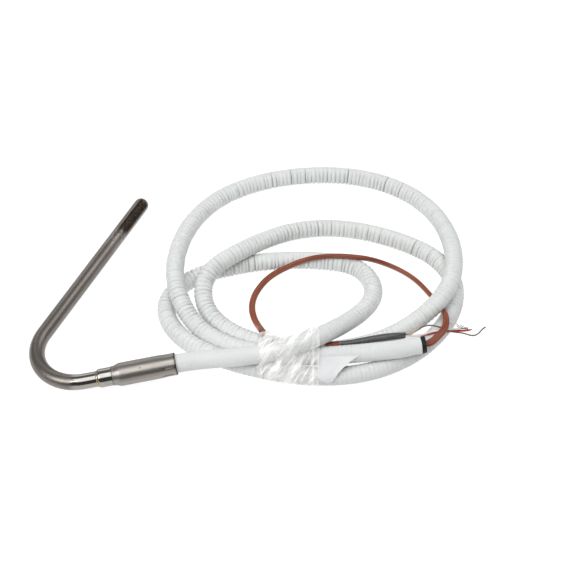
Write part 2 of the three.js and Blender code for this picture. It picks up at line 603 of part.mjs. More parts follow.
const last = conduit[conduit.length - 1];
const outward = new THREE.Vector3().subVectors(last, conduit[conduit.length - 2]).normalize();
add(
  "end_bushing",
  turnedAt([[2.1, -6], [2.65, -6], [2.65, 0.35], [4.85, 0.35], [4.85, 1.6], [2.1, 1.6], [2.1, -6]], last, outward, 16),
  BLACK,
);

add("sensor_cable_tail", tube(vectors(CABLE_TAIL), CABLE_R), CABLE);
add("heat_shrink", tube(vectors(SHRINK_ROUTE), SHRINK_R, SHRINK_BORE_R), SHRINK);
add("wire_red", tube(vectors(RED_ROUTE), RED_R), RED);
add("wire_white", tube(vectors(WHITE_ROUTE), WHITE_R), WHITE);
add("wire_drain", tube(vectors(DRAIN_ROUTE), DRAIN_R), DRAIN);

// ------------------------------------------------------------ film and label
{
  const rings = FILM_RINGS.length;
  const count = FILM_RINGS[0].length;
  const profile = [];
  for (let j = 0; j < rings; j++) profile.push(new THREE.Vector2(2, j));
  for (let j = rings - 1; j >= 0; j--) profile.push(new THREE.Vector2(1, j));
  profile.push(new THREE.Vector2(2, 0));
  const geometry = new THREE.LatheGeometry(profile, count);
  const position = geometry.getAttribute("position");
  const at = (j, k, inset) => {
    const ring = FILM_RINGS[j];
    const [y, z] = ring[k % count];
    const [y0, z0] = ring[(k + count - 1) % count];
    const [y1, z1] = ring[(k + 1) % count];
    const tangent = new THREE.Vector2(y1 - y0, z1 - z0).normalize();
    return [FILM_X[j], y - tangent.y * inset, z + tangent.x * inset];
  };
  for (let i = 0; i <= count; i++) {
    for (let j = 0; j < profile.length; j++) {
      const outer = j < rings || j === profile.length - 1;
      const ring = j < rings ? j : j === profile.length - 1 ? 0 : 2 * rings - 1 - j;
      const [x, y, z] = at(ring, i % count, outer ? 0 : FILM_THICKNESS);
      position.setXYZ(i * profile.length + j, x, y, z);
    }
  }
  add("film_wrap", geometry, FILM);
}
{
  const rows = LABEL_GRID.length;
  const columns = LABEL_GRID[0].length;
  const geometry = new THREE.BoxGeometry(1, 1, 1, columns - 1, rows - 1, 1);
  const position = geometry.getAttribute("position");
  const grid = LABEL_GRID.map(vectors);
  for (let i = 0; i < position.count; i++) {
    const c = Math.round((position.getX(i) + 0.5) * (columns - 1));
    const r = Math.round((0.5 - position.getY(i)) * (rows - 1));
    const p = grid[r][c];
    const across_ = new THREE.Vector3().subVectors(grid[r][Math.min(c + 1, columns - 1)], grid[r][Math.max(c - 1, 0)]);
    const down = new THREE.Vector3().subVectors(grid[Math.min(r + 1, rows - 1)][c], grid[Math.max(r - 1, 0)][c]);
    const n = new THREE.Vector3().crossVectors(down, across_).normalize();
    const side = Math.sign(position.getZ(i)) * LABEL_THICKNESS * 0.5;
    position.setXYZ(i, p.x + n.x * side, p.y + n.y * side, p.z + n.z * side);
  }
  add("label", geometry, PAPER);
}

export default part;
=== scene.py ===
"""A bent temperature and flame sensing probe on an armoured lead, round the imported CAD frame.
Lengths in this file are millimetres unless a name ends in _m; the pieces are made in metres."""
import math

import bpy
import numpy as np
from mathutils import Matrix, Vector


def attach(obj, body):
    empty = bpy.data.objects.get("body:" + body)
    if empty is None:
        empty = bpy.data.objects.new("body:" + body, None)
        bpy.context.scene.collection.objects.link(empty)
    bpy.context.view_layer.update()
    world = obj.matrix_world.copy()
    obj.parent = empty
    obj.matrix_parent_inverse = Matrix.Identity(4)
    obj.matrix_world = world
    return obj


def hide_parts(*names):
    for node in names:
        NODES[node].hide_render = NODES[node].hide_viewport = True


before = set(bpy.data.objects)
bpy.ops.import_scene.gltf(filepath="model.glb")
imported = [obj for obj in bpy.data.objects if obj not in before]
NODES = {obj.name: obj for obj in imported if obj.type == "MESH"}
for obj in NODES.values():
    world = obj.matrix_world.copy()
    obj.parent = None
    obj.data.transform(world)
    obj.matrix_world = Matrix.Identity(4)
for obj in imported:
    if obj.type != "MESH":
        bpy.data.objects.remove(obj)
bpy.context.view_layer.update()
K = 0.001
scene = bpy.context.scene

# ------------------------------------------------------------------ camera
# The camera looks along +Y and 50 degrees down.
camera = bpy.data.objects.new("camera", bpy.data.cameras.new("camera"))
scene.collection.objects.link(camera)
camera.location = (0.111341, -0.509012, 0.6137)
camera.rotation_euler = (math.radians(40), 0, 0)
camera.data.sensor_width = 36
camera.data.lens = 78.30
camera.data.clip_start, camera.data.clip_end = 0.02, 50
scene.camera = camera

# ------------------------------------------------------------------ routes
# The same points as in the CAD source.
CONDUIT_ROUTE = [
  [23.95, -68.22, 12.21],
  [34.25, -66.42, 13.11],
  [45.05, -64.53, 14.05],
  [62.37, -63.21, 16.18],
  [86.59, -64.45, 21.45],
  [105.80, -61.93, 24.05],
  [121.26, -55.85, 23.96],
  [136.44, -45.01, 20.23],
  [153.65, -27.41, 13.35],
  [162.68, -13.43, 9.38],
  [165.21, -1.67, 7.25],
  [162.67, 9.14, 5.96],
  [156.01, 17.58, 5.35],
  [145.02, 22.38, 5.22],
  [122.89, 24.80, 5.22],
  [97.81, 23.82, 5.22],
  [72.02, 18.24, 5.22],
  [53.47, 11.07, 5.22],
  [42.35, 2.09, 5.22],
  [36.36, -8.25, 5.22],
  [35.71, -19.18, 5.25],
  [40.49, -31.04, 5.56],
  [51.00, -43.31, 6.63],
  [68.01, -54.95, 8.58],
  [88.21, -63.46, 9.73],
  [109.72, -67.42, 8.11],
  [135.92, -67.85, 5.71],
  [158.75, -64.30, 5.22],
  [177.82, -56.57, 5.22],
  [194.63, -44.41, 5.22],
  [207.41, -29.28, 5.22],
  [214.79, -13.49, 5.22],
  [216.91, 1.49, 5.22],
  [214.04, 14.77, 5.22],
  [206.30, 26.48, 5.22],
  [192.64, 36.95, 5.22],
  [170.48, 47.04, 5.22],
  [149.05, 52.23, 5.27],
  [131.29, 52.05, 6.19],
  [114.69, 47.05, 8.59],
  [96.45, 35.69, 12.83],
  [77.90, 20.74, 16.24],
  [65.35, 10.75, 15.02],
  [59.26, 1.53, 12.45],
  [58.45, -9.15, 9.69],
  [62.40, -20.31, 7.43],
  [71.64, -30.52, 6.15],
  [87.52, -40.28, 5.95],
  [107.60, -46.93, 6.00],
  [129.18, -48.94, 6.00],
  [152.46, -46.04, 6.43],
  [173.97, -39.68, 9.42],
  [191.85, -30.48, 14.59],
  [203.66, -19.86, 17.85],
  [211.52, -6.73, 18.24],
  [216.10, 10.36, 16.68],
  [216.68, 31.85, 12.96],
  [212.85, 53.26, 8.83],
  [205.49, 69.92, 6.33],
  [194.71, 82.79, 5.32],
  [179.42, 93.00, 5.22],
  [159.93, 99.97, 5.22],
  [137.29, 102.61, 5.22],
  [112.04, 100.48, 5.22],
  [88.75, 93.93, 5.22],
  [70.74, 84.32, 5.23],
  [58.02, 72.34, 5.73],
  [48.71, 56.68, 7.62],
  [42.36, 35.88, 11.33],
  [40.04, 12.79, 15.32],
  [41.42, -4.25, 15.96],
  [46.20, -18.67, 12.97],
  [55.24, -31.65, 9.30],
  [67.88, -41.99, 7.90],
  [85.43, -50.78, 9.59],
  [106.22, -56.16, 12.09],
  [131.49, -57.46, 13.25],
  [157.82, -55.99, 14.42],
  [184.06, -53.95, 16.61],
  [192.48, -52.89, 17.20],
]
CABLE_RUN = [
  [26.40, -67.79, 12.43],
  [34.25, -66.42, 13.11],
  [45.05, -64.53, 14.05],
  [62.37, -63.21, 16.18],
  [86.59, -64.45, 21.45],
  [105.80, -61.93, 24.05],
  [121.26, -55.85, 23.96],
  [136.44, -45.01, 20.23],
  [153.65, -27.41, 13.35],
  [162.68, -13.43, 9.38],
  [165.21, -1.67, 7.25],
  [162.67, 9.14, 5.96],
  [156.01, 17.58, 5.35],
  [145.02, 22.38, 5.22],
  [122.89, 24.80, 5.22],
  [97.81, 23.82, 5.22],
  [72.02, 18.24, 5.22],
  [53.47, 11.07, 5.22],
  [42.35, 2.09, 5.22],
  [36.36, -8.25, 5.22],
  [35.71, -19.18, 5.25],
  [40.49, -31.04, 5.56],
  [51.00, -43.31, 6.63],
  [68.01, -54.95, 8.58],
  [88.21, -63.46, 9.73],
  [109.72, -67.42, 8.11],
  [135.92, -67.85, 5.71],
  [158.75, -64.30, 5.22],
  [177.82, -56.57, 5.22],
  [194.63, -44.41, 5.22],
  [207.41, -29.28, 5.22],
  [214.79, -13.49, 5.22],
  [216.91, 1.49, 5.22],
  [214.04, 14.77, 5.22],
  [206.30, 26.48, 5.22],
  [192.64, 36.95, 5.22],
  [170.48, 47.04, 5.22],
  [149.05, 52.23, 5.27],
  [131.29, 52.05, 6.19],
  [114.69, 47.05, 8.59],
  [96.45, 35.69, 12.83],
  [77.90, 20.74, 16.24],
  [65.35, 10.75, 15.02],
  [59.26, 1.53, 12.45],
  [58.45, -9.15, 9.69],
  [62.40, -20.31, 7.43],
  [71.64, -30.52, 6.15],
  [87.52, -40.28, 5.95],
  [107.60, -46.93, 6.00],
  [129.18, -48.94, 6.00],
  [152.46, -46.04, 6.43],
  [173.97, -39.68, 9.42],
  [191.85, -30.48, 14.59],
  [203.66, -19.86, 17.85],
  [211.52, -6.73, 18.24],
  [216.10, 10.36, 16.68],
  [216.68, 31.85, 12.96],
  [212.85, 53.26, 8.83],
  [205.49, 69.92, 6.33],
  [194.71, 82.79, 5.32],
  [179.42, 93.00, 5.22],
  [159.93, 99.97, 5.22],
  [137.29, 102.61, 5.22],
  [112.04, 100.48, 5.22],
  [88.75, 93.93, 5.22],
  [70.74, 84.32, 5.23],
  [58.02, 72.34, 5.73],
  [48.71, 56.68, 7.62],
  [42.36, 35.88, 11.33],
  [40.04, 12.79, 15.32],
  [41.42, -4.25, 15.96],
  [46.20, -18.67, 12.97],
  [55.24, -31.65, 9.30],
  [67.88, -41.99, 7.90],
  [85.43, -50.78, 9.59],
  [106.22, -56.16, 12.09],
  [131.49, -57.46, 13.25],
  [157.82, -55.99, 14.42],
  [185.55, -53.76, 16.71],
]
CABLE_TAIL = [
  [185.85, -53.73, 16.73],
  [193.03, -52.82, 17.24],
  [197.73, -50.93, 18.01],
  [201.22, -47.26, 17.93],
  [204.60, -42.61, 16.91],
  [207.15, -36.74, 16.06],
  [207.83, -30.67, 15.23],
  [207.44, -24.95, 13.36],
  [206.37, -19.23, 10.22],
  [205.52, -12.72, 6.31],
  [204.08, -6.47, 2.99],
  [200.60, 0.23, 1.88],
  [195.71, 7.71, 1.85],
  [189.78, 14.40, 1.85],
  [182.93, 19.84, 1.85],
  [176.80, 23.16, 2.31],
  [170.99, 24.31, 4.16],
  [165.20, 23.49, 7.45],
  [159.33, 21.76, 11.04],
  [152.70, 21.21, 12.80],
  [144.35, 21.89, 12.86],
  [135.41, 21.87, 12.56],
  [126.55, 20.81, 11.81],
  [117.95, 18.80, 10.16],
  [109.95, 17.13, 6.74],
  [103.51, 15.44, 3.64],
  [98.40, 11.95, 2.14],
  [94.15, 6.31, 1.85],
  [90.57, -0.94, 1.85],
  [88.83, -8.57, 1.85],
  [89.16, -15.97, 1.86],
  [91.00, -22.77, 2.51],
  [93.12, -29.08, 5.29],
  [94.63, -34.92, 9.60],
  [96.40, -39.95, 12.62],
  [100.09, -44.09, 13.63],
  [105.55, -47.21, 13.66],
  [112.86, -49.28, 13.46],
  [121.79, -49.78, 13.53],
  [130.75, -49.77, 13.54],
  [139.69, -49.60, 13.46],
  [142.51, -49.31, 13.50],
]
SHRINK_ROUTE = [
  [142.81, -49.28, 13.51],
  [148.59, -48.69, 13.59],
  [157.41, -47.19, 14.04],
  [166.26, -45.93, 14.69],
  [175.06, -44.90, 15.31],
  [182.20, -43.33, 14.22],
]
RED_ROUTE = [
  [172.59, -45.88, 14.82],
  [175.16, -45.54, 14.98],
  [181.83, -43.71, 13.52],
  [182.90, -43.53, 13.33],
  [186.36, -42.64, 12.48],
  [189.83, -41.70, 11.73],
  [193.33, -40.82, 11.43],
  [196.86, -40.03, 11.53],
  [200.41, -39.16, 11.43],
  [203.92, -38.23, 10.88],
  [207.25, -37.15, 9.79],
  [210.52, -35.97, 8.59],
  [213.87, -34.88, 7.56],
  [217.37, -34.09, 6.81],
  [220.98, -33.54, 6.44],
  [224.60, -32.94, 6.50],
]
WHITE_ROUTE = [
  [172.23, -44.52, 14.83],
  [174.81, -44.70, 15.10],
  [181.47, -44.48, 14.39],
  [182.52, -44.28, 14.21],
  [185.09, -43.66, 13.61],
  [187.78, -42.94, 12.99],
  [190.79, -42.12, 12.50],
  [194.20, -41.31, 12.95],
  [197.67, -40.29, 13.50],
  [201.09, -39.00, 13.10],
  [204.51, -37.80, 12.28],
  [207.89, -36.71, 11.22],
  [211.26, -35.60, 10.11],
  [214.72, -34.58, 9.21],
  [218.29, -33.79, 8.60],
  [221.93, -33.18, 8.20],
]
DRAIN_ROUTE = [
  [172.66, -45.14, 15.97],
  [175.24, -44.83, 16.15],
  [181.90, -43.37, 15.13],
  [182.98, -43.14, 15.03],
  [185.84, -42.34, 15.14],
  [188.64, -41.04, 15.78],
  [191.56, -39.34, 16.11],
  [194.61, -37.75, 16.19],
  [197.92, -36.93, 15.81],
  [201.26, -36.96, 15.01],
  [204.52, -37.32, 13.97],
  [207.59, -37.70, 12.46],
  [210.50, -37.49, 10.64],
  [213.35, -36.76, 8.85],
  [216.18, -35.78, 7.15],
  [218.95, -34.80, 5.37],
  [221.72, -34.19, 3.42],
  [224.49, -33.84, 1.90],
  [227.23, -33.23, 1.39],
  [229.55, -32.05, 2.18],
  [231.33, -30.80, 3.79],
  [233.32, -30.12, 5.50],
]
FILM_X = [93.22, 99.26, 105.30, 111.34, 117.38, 123.12, 128.13]
FILM_RINGS = [
  [[-42.53, 14.16], [-45.04, 16.08], [-47.60, 18.02], [-50.12, 19.93], [-52.67, 21.88], [-55.19, 23.79], [-57.75, 25.73], [-60.29, 27.61], [-63.33, 28.53], [-66.39, 27.89], [-68.79, 25.81], [-69.85, 22.87], [-70.05, 19.67], [-70.24, 16.51], [-70.44, 13.30], [-70.63, 10.15], [-70.19, 7.00], [-68.29, 4.52], [-65.38, 3.24], [-62.26, 2.77], [-59.08, 2.28], [-55.96, 1.80], [-52.79, 1.31], [-49.66, 0.84], [-46.49, 0.35], [-43.36, 0.12], [-40.19, 0.12], [-37.49, 1.66], [-35.89, 4.40], [-35.89, 7.52], [-37.49, 10.27], [-39.97, 12.22]],
  [[-39.91, 14.54], [-42.37, 16.50], [-45.01, 18.34], [-47.60, 20.14], [-50.24, 21.98], [-52.84, 23.79], [-55.48, 25.62], [-58.07, 27.43], [-60.85, 29.03], [-63.97, 29.23], [-66.85, 27.89], [-68.69, 25.35], [-69.38, 22.22], [-69.97, 19.11], [-70.57, 15.95], [-71.15, 12.85], [-71.74, 9.69], [-71.34, 6.59], [-69.42, 4.05], [-66.55, 2.79], [-63.37, 2.35], [-60.23, 1.92], [-57.05, 1.49], [-53.92, 1.06], [-50.73, 0.62], [-47.60, 0.19], [-44.41, 0.12], [-41.33, 0.38], [-38.85, 2.38], [-37.69, 5.28], [-38.10, 8.44], [-38.95, 11.49]],
  [[-44.48, 14.97], [-46.61, 17.23], [-48.83, 19.49], [-51.02, 21.70], [-53.23, 23.96], [-55.42, 26.18], [-57.64, 28.43], [-60.32, 29.94], [-63.45, 30.00], [-66.19, 28.60], [-67.95, 26.01], [-68.84, 23.03], [-69.73, 19.99], [-70.62, 17.01], [-71.51, 13.97], [-72.39, 10.99], [-72.85, 7.88], [-71.80, 4.99], [-69.44, 2.93], [-66.44, 2.19], [-63.30, 1.81], [-60.21, 1.44], [-57.07, 1.07], [-53.98, 0.69], [-50.84, 0.32], [-47.74, 0.12], [-44.60, 0.12], [-41.83, 1.32], [-40.01, 3.86], [-39.69, 6.92], [-40.94, 9.79], [-42.69, 12.36]],
  [[-45.87, 15.02], [-47.59, 17.57], [-49.35, 20.16], [-51.07, 22.71], [-52.82, 25.29], [-54.58, 27.82], [-57.06, 29.67], [-60.06, 30.21], [-63.06, 29.40], [-65.32, 27.36], [-66.70, 24.56], [-67.98, 21.76], [-69.28, 18.91], [-70.56, 16.12], [-71.86, 13.27], [-73.14, 10.47], [-73.64, 7.42], [-72.63, 4.55], [-70.34, 2.48], [-67.38, 1.73], [-64.26, 1.43], [-61.20, 1.13], [-58.09, 0.82], [-55.03, 0.53], [-51.91, 0.22], [-48.85, 0.12], [-45.74, 0.12], [-43.06, 1.43], [-41.37, 4.02], [-41.13, 7.05], [-42.39, 9.88], [-44.11, 12.43]],
  [[-45.45, 14.98], [-46.85, 17.70], [-48.27, 20.47], [-49.67, 23.20], [-51.10, 25.97], [-52.84, 28.46], [-55.55, 29.93], [-58.58, 30.08], [-61.43, 28.89], [-63.40, 26.58], [-64.99, 23.90], [-66.55, 21.27], [-68.14, 18.59], [-69.71, 15.95], [-71.30, 13.28], [-72.86, 10.64], [-73.76, 7.70], [-73.15, 4.73], [-71.16, 2.38], [-68.33, 1.27], [-65.23, 1.04], [-62.17, 0.82], [-59.07, 0.60], [-56.01, 0.38], [-52.91, 0.15], [-49.85, 0.12], [-46.75, 0.12], [-43.97, 1.12], [-42.10, 3.57], [-41.63, 6.56], [-42.62, 9.49], [-44.02, 12.21]],
  [[-44.38, 14.76], [-45.21, 17.71], [-46.05, 20.71], [-46.88, 23.67], [-48.00, 26.56], [-50.26, 28.60], [-53.19, 29.61], [-56.24, 29.56], [-59.13, 28.43], [-61.29, 26.29], [-63.12, 23.76], [-64.92, 21.28], [-66.74, 18.75], [-68.54, 16.26], [-70.37, 13.73], [-72.16, 11.25], [-73.64, 8.52], [-73.70, 5.49], [-72.27, 2.76], [-69.74, 1.06], [-66.67, 0.64], [-63.60, 0.50], [-60.49, 0.36], [-57.42, 0.21], [-54.31, 0.12], [-51.24, 0.12], [-48.13, 0.12], [-45.21, 0.66], [-43.03, 2.84], [-42.16, 5.75], [-42.70, 8.80], [-43.53, 11.76]],
  [[-43.04, 14.16], [-43.20, 17.21], [-43.37, 20.31], [-43.59, 23.35], [-45.03, 26.06], [-47.52, 27.79], [-50.53, 28.47], [-53.54, 28.12], [-56.28, 26.69], [-58.46, 24.56], [-60.64, 22.36], [-62.80, 20.19], [-64.99, 17.99], [-67.14, 15.83], [-69.33, 13.63], [-71.48, 11.47], [-73.37, 9.03], [-73.93, 6.06], [-72.99, 3.14], [-70.80, 1.05], [-67.84, 0.24], [-64.79, 0.17], [-61.69, 0.12], [-58.63, 0.12], [-55.53, 0.12], [-52.48, 0.12], [-49.38, 0.12], [-46.39, 0.30], [-43.96, 2.17], [-42.72, 4.92], [-42.72, 8.02], [-42.88, 11.07]],
]
LABEL_GRID = [
  [[128.87, -61.88, 17.03], [133.32, -61.87, 17.33], [138.08, -61.71, 17.40], [142.83, -61.56, 17.40], [147.59, -61.48, 17.40], [152.95, -61.47, 17.18]],
  [[128.86, -64.39, 15.45], [132.72, -64.40, 15.56], [136.88, -64.45, 15.62], [141.03, -64.44, 15.61], [145.19, -64.48, 15.56], [149.66, -64.10, 15.45]],
  [[128.91, -66.91, 13.86], [132.41, -67.00, 13.89], [135.97, -67.07, 13.89], [139.53, -67.13, 13.86], [143.10, -67.16, 13.80], [146.37, -66.96, 13.73]],
  [[129.02, -69.42, 12.28], [132.11, -69.53, 12.24], [135.07, -69.65, 12.19], [138.04, -69.76, 12.14], [141.00, -69.78, 12.08], [143.74, -69.44, 12.00]],
  [[129.43, -71.78, 10.69], [131.80, -71.99, 10.58], [134.47, -72.15, 10.51], [136.84, -72.17, 10.43], [139.22, -71.97, 10.36], [141.61, -71.48, 10.28]],
  [[130.63, -73.04, 9.00], [132.70, -73.56, 8.91], [134.48, -73.71, 8.82], [136.26, -73.72, 8.73], [138.05, -73.44, 8.65], [139.73, -72.57, 8.56]],
]

# ---------------------------------------------------------------- numerics


def unit(a):
    a = np.asarray(a, float)
    return a / np.maximum(np.linalg.norm(a, axis=-1, keepdims=True), 1e-12)


def natural_spline(t, y):
    """Values and a function: the cubic through y at t with continuous curvature."""
    t, y = np.asarray(t, float), np.asarray(y, float)
    n = len(t)
    if n < 3:
        return lambda x: y[0] + (y[-1] - y[0]) * ((np.asarray(x) - t[0]) / (t[-1] - t[0]))[:, None]
    h = np.diff(t)
    a = np.zeros((n, n))
    b = np.zeros_like(y)
    a[0, 0] = a[-1, -1] = 1
    for i in range(1, n - 1):
        a[i, i - 1], a[i, i], a[i, i + 1] = h[i - 1], 2 * (h[i - 1] + h[i]), h[i]
        b[i] = 6 * ((y[i + 1] - y[i]) / h[i] - (y[i] - y[i - 1]) / h[i - 1])
    m = np.linalg.solve(a, b)

    def at(x):
        x = np.asarray(x, float)
        i = np.clip(np.searchsorted(t, x, side="right") - 1, 0, n - 2)
        u, v, w = (t[i + 1] - x)[:, None], (x - t[i])[:, None], h[i][:, None]
        return (
            m[i] * u**3 / (6 * w)
            + m[i + 1] * v**3 / (6 * w)
            + (y[i] / w - m[i] * w / 6) * u
            + (y[i + 1] / w - m[i + 1] * w / 6) * v
        )

    return at


class Line:
    """A smooth centre line through points, measured along its length from its first point."""

    def __init__(self, points, fine=0.2):
        p = np.asarray(points, float)
        t = np.concatenate([[0], np.cumsum(np.linalg.norm(np.diff(p, axis=0), axis=1))])
        at = natural_spline(t, p)
        q = at(np.linspace(0, t[-1], max(200, int(t[-1] / fine))))
        self.s = np.concatenate([[0], np.cumsum(np.linalg.norm(np.diff(q, axis=0), axis=1))])
        self.q = q
        self.length = self.s[-1]
        tangent = unit(np.gradient(q, self.s, axis=0))
        side = np.cross(tangent[0], [0, 0, 1.0])
        side = unit(side)
        sides = [side]
        for k in range(1, len(q)):  # parallel transport
            side = side - tangent[k] * (side @ tangent[k])
            side = side / np.linalg.norm(side)
            sides.append(side)
        self.tangents, self.sides = tangent, np.array(sides)
        bend = np.gradient(tangent, self.s, axis=0)
        width = max(1, int(6 / max(self.s[1], 1e-6)))
        kernel = np.hanning(2 * width + 1)
        kernel /= kernel.sum()
        self.bends = np.stack([np.convolve(np.pad(bend[:, c], width, mode="edge"), kernel, "valid") for c in range(3)], 1)

    def take(self, table, s):
        s = np.asarray(s, float)
        return np.stack([np.interp(s, self.s, table[:, c]) for c in range(3)], -1)

    def at(self, s):
        """point, tangent, side, up at the distances s."""
        t = unit(self.take(self.tangents, s))
        side = self.take(self.sides, s)
        side = unit(side - t * (side * t).sum(-1, keepdims=True))
        return self.take(self.q, s), t, side, np.cross(side, t)


def hashed(i, j, seed):
    v = (i * 374761393 + j * 668265263 + seed * 1442695041) & 0xFFFFFFFF
    v = ((v ^ (v >> 13)) * 1274126177) & 0xFFFFFFFF
    return ((v ^ (v >> 16)) & 0xFFFF) / 65535.0


def value_noise(x, y, seed=0):
    """Smooth noise from -1 to 1 with features one unit across."""
    xi, yi = np.floor(x).astype(np.int64), np.floor(y).astype(np.int64)
    fx, fy = x - xi, y - yi
    fx, fy = fx * fx * fx * (fx * (6 * fx - 15) + 10), fy * fy * fy * (fy * (6 * fy - 15) + 10)
    a, b = hashed(xi, yi, seed), hashed(xi + 1, yi, seed)
    c, d = hashed(xi, yi + 1, seed), hashed(xi + 1, yi + 1, seed)
    return 2 * ((a * (1 - fx) + b * fx) * (1 - fy) + (c * (1 - fx) + d * fx) * fy) - 1


def smoothstep(x, lo, hi):
    u = np.clip((x - lo) / (hi - lo), 0, 1)
    return u * u * (3 - 2 * u)


# ------------------------------------------------------------ mesh building


def build(name, points, quads=(), tris=(), flat=None, extra=None, sharp=38, mirror_check=True):
    """A mesh piece from points in millimetres, with its faces turned outwards.
    flat is each point's place on the straightened body, kept for the materials."""
    points = np.asarray(points, float)
    quads = np.asarray(quads, np.int64).reshape(-1, 4)
    tris = np.asarray(tris, np.int64).reshape(-1, 3)
    if mirror_check:
        t = np.concatenate([tris, quads[:, [0, 1, 2]], quads[:, [0, 2, 3]]])
        a, b, c = points[t[:, 0]], points[t[:, 1]], points[t[:, 2]]
        if (a * np.cross(b, c)).sum() < 0:
            quads, tris = quads[:, ::-1], tris[:, ::-1]
    me = bpy.data.meshes.new(name)
    me.vertices.add(len(points))
    me.vertices.foreach_set("co", (points * K).astype(np.float32).ravel())
    loops = np.concatenate([quads.ravel(), tris.ravel()]).astype(np.int32)
    me.loops.add(len(loops))
    me.loops.foreach_set("vertex_index", loops)
    starts = np.concatenate([np.arange(len(quads)) * 4, len(quads) * 4 + np.arange(len(tris)) * 3]).astype(np.int32)
    me.polygons.add(len(starts))
    me.polygons.foreach_set("loop_start", starts)
    me.update(calc_edges=True)
    me.validate()
    for key, values in dict(extra or {}, **({"flat_co": flat} if flat is not None else {})).items():
        values = np.asarray(values, np.float32)
        if values.ndim == 2:
            me.attributes.new(key, "FLOAT_VECTOR", "POINT").data.foreach_set("vector", values.ravel())
        else:
            me.attributes.new(key, "FLOAT", "POINT").data.foreach_set("value", values)
    me.polygons.foreach_set("use_smooth", np.ones(len(starts), bool))
    if sharp:
        me.set_sharp_from_angle(angle=math.radians(sharp))
    o = bpy.data.objects.new(name, me)
    scene.collection.objects.link(o)
    return o


def ring_quads(rings, around, base=0):
    i, j = np.arange(rings - 1)[:, None], np.arange(around)[None, :]
    k = (j + 1) % around
    return np.stack([i * around + j, i * around + k, (i + 1) * around + k, (i + 1) * around + j], -1).reshape(-1, 4) + base


def fan(ring, centre, flip=False):
    ring = np.asarray(ring)
    t = np.stack([ring, np.roll(ring, -1), np.full(len(ring), centre)], -1)
    return t[:, ::-1] if flip else t


def bridge(a, b):
    """Quads between two rings of the same count."""
    a, b = np.asarray(a), np.asarray(b)
    return np.stack([a, np.roll(a, -1), np.roll(b, -1), b], -1)


def swept(name, line, s, section, **kw):
    """A solid swept along a line. section is (rings, around, 2): each ring's points across the line."""
    p, t, side, up = line.at(s)
    rings, around = section.shape[:2]
    pts = p[:, None] + section[..., :1] * side[:, None] + section[..., 1:2] * up[:, None]
    if "shift" in kw:
        pts = pts + kw.pop("shift")[..., None] * t[:, None]
    flat = np.concatenate([np.broadcast_to(np.asarray(s)[:, None, None], (rings, around, 1)), section], -1)
    pts, flat = pts.reshape(-1, 3), flat.reshape(-1, 3)
    quads = ring_quads(rings, around)
    n = len(pts)
    first, last = np.arange(around), np.arange(around) + (rings - 1) * around
    pts = np.concatenate([pts, [p[0], p[-1]]])
    flat = np.concatenate([flat, [[s[0], 0, 0], [s[-1], 0, 0]]])
    tris = np.concatenate([fan(first, n, True), fan(last, n + 1)])
    extra = {k: np.concatenate([v.reshape(rings * around, -1).squeeze(-1) if v.ndim == 2 else v, [0, 0]]) for k, v in kw.pop("extra", {}).items()}
    return build(name, pts, quads, tris, flat=flat, extra=extra, **kw)


def circle(r, around, phase=0.0):
    a = np.arange(around) * 2 * math.pi / around + phase
    return np.stack([np.cos(a), np.sin(a)], -1) * r


# ------------------------------------------------------------- probe shape
LEG_AZIMUTH = math.radians(-115.22)
LEG_TIP = np.array([12.661, 74.453, 4.750])
LEG_LENGTH, BEND_RADIUS, BEND_TURN = 120.6, 27.93, math.radians(125)
PLANE_TILT = math.radians(6)
along = np.array([math.cos(LEG_AZIMUTH), math.sin(LEG_AZIMUTH), 0])
across_leg = np.array([-math.sin(LEG_AZIMUTH), math.cos(LEG_AZIMUTH), 0])
INWARD = across_leg * math.cos(PLANE_TILT) + np.array([0, 0, math.sin(PLANE_TILT)])
ACROSS = np.cross(along, INWARD)
BEND_CENTRE = LEG_TIP + along * LEG_LENGTH + INWARD * BEND_RADIUS
ARM = LEG_LENGTH + BEND_RADIUS * BEND_TURN


def probe_frame(s):
    s = np.asarray(s, float)
    theta = np.clip((s - LEG_LENGTH) / BEND_RADIUS, 0, BEND_TURN)[..., None]
    tangent = along * np.cos(theta) + INWARD * np.sin(theta)
    normal = INWARD * np.cos(theta) - along * np.sin(theta)
    bent = BEND_CENTRE - normal * BEND_RADIUS + tangent * np.maximum(s - ARM, 0)[..., None]
    straight = LEG_TIP + along * s[..., None]
    return np.where((s <= LEG_LENGTH)[..., None], straight, bent), tangent, normal


def fillet(profile, radius=0.25, steps=4):
    """Rounds the corners of a closed profile of [radius, station]."""
    out, p = [], [np.array(q, float) for q in profile]
    n = len(p)
    for i in range(n):
        a, b, c = p[i - 1], p[i], p[(i + 1) % n]
        u, v = a - b, c - b
        lu, lv = np.linalg.norm(u), np.linalg.norm(v)
        cosine = np.clip((u @ v) / max(lu * lv, 1e-9), -1, 1)
        if cosine < -0.985:
            out.append(b)
            continue
        r = min(radius, 0.45 * lu, 0.45 * lv)
        u, v = b + u / lu * r, b + v / lv * r
        for k in range(steps + 1):
            w = k / steps
            out.append((1 - w) ** 2 * u + 2 * w * (1 - w) * b + w**2 * v)
    return [list(q) for q in out]


def densify(profile, step):
    """More stations on a profile's long edges."""
    out = []
    n = len(profile)
    for i in range(n):
        a, b = np.array(profile[i], float), np.array(profile[(i + 1) % n], float)
        count = max(1, int(abs(b[1] - a[1]) / step))
        for k in range(count):
            out.append(list(a + (b - a) * k / count))
    return out


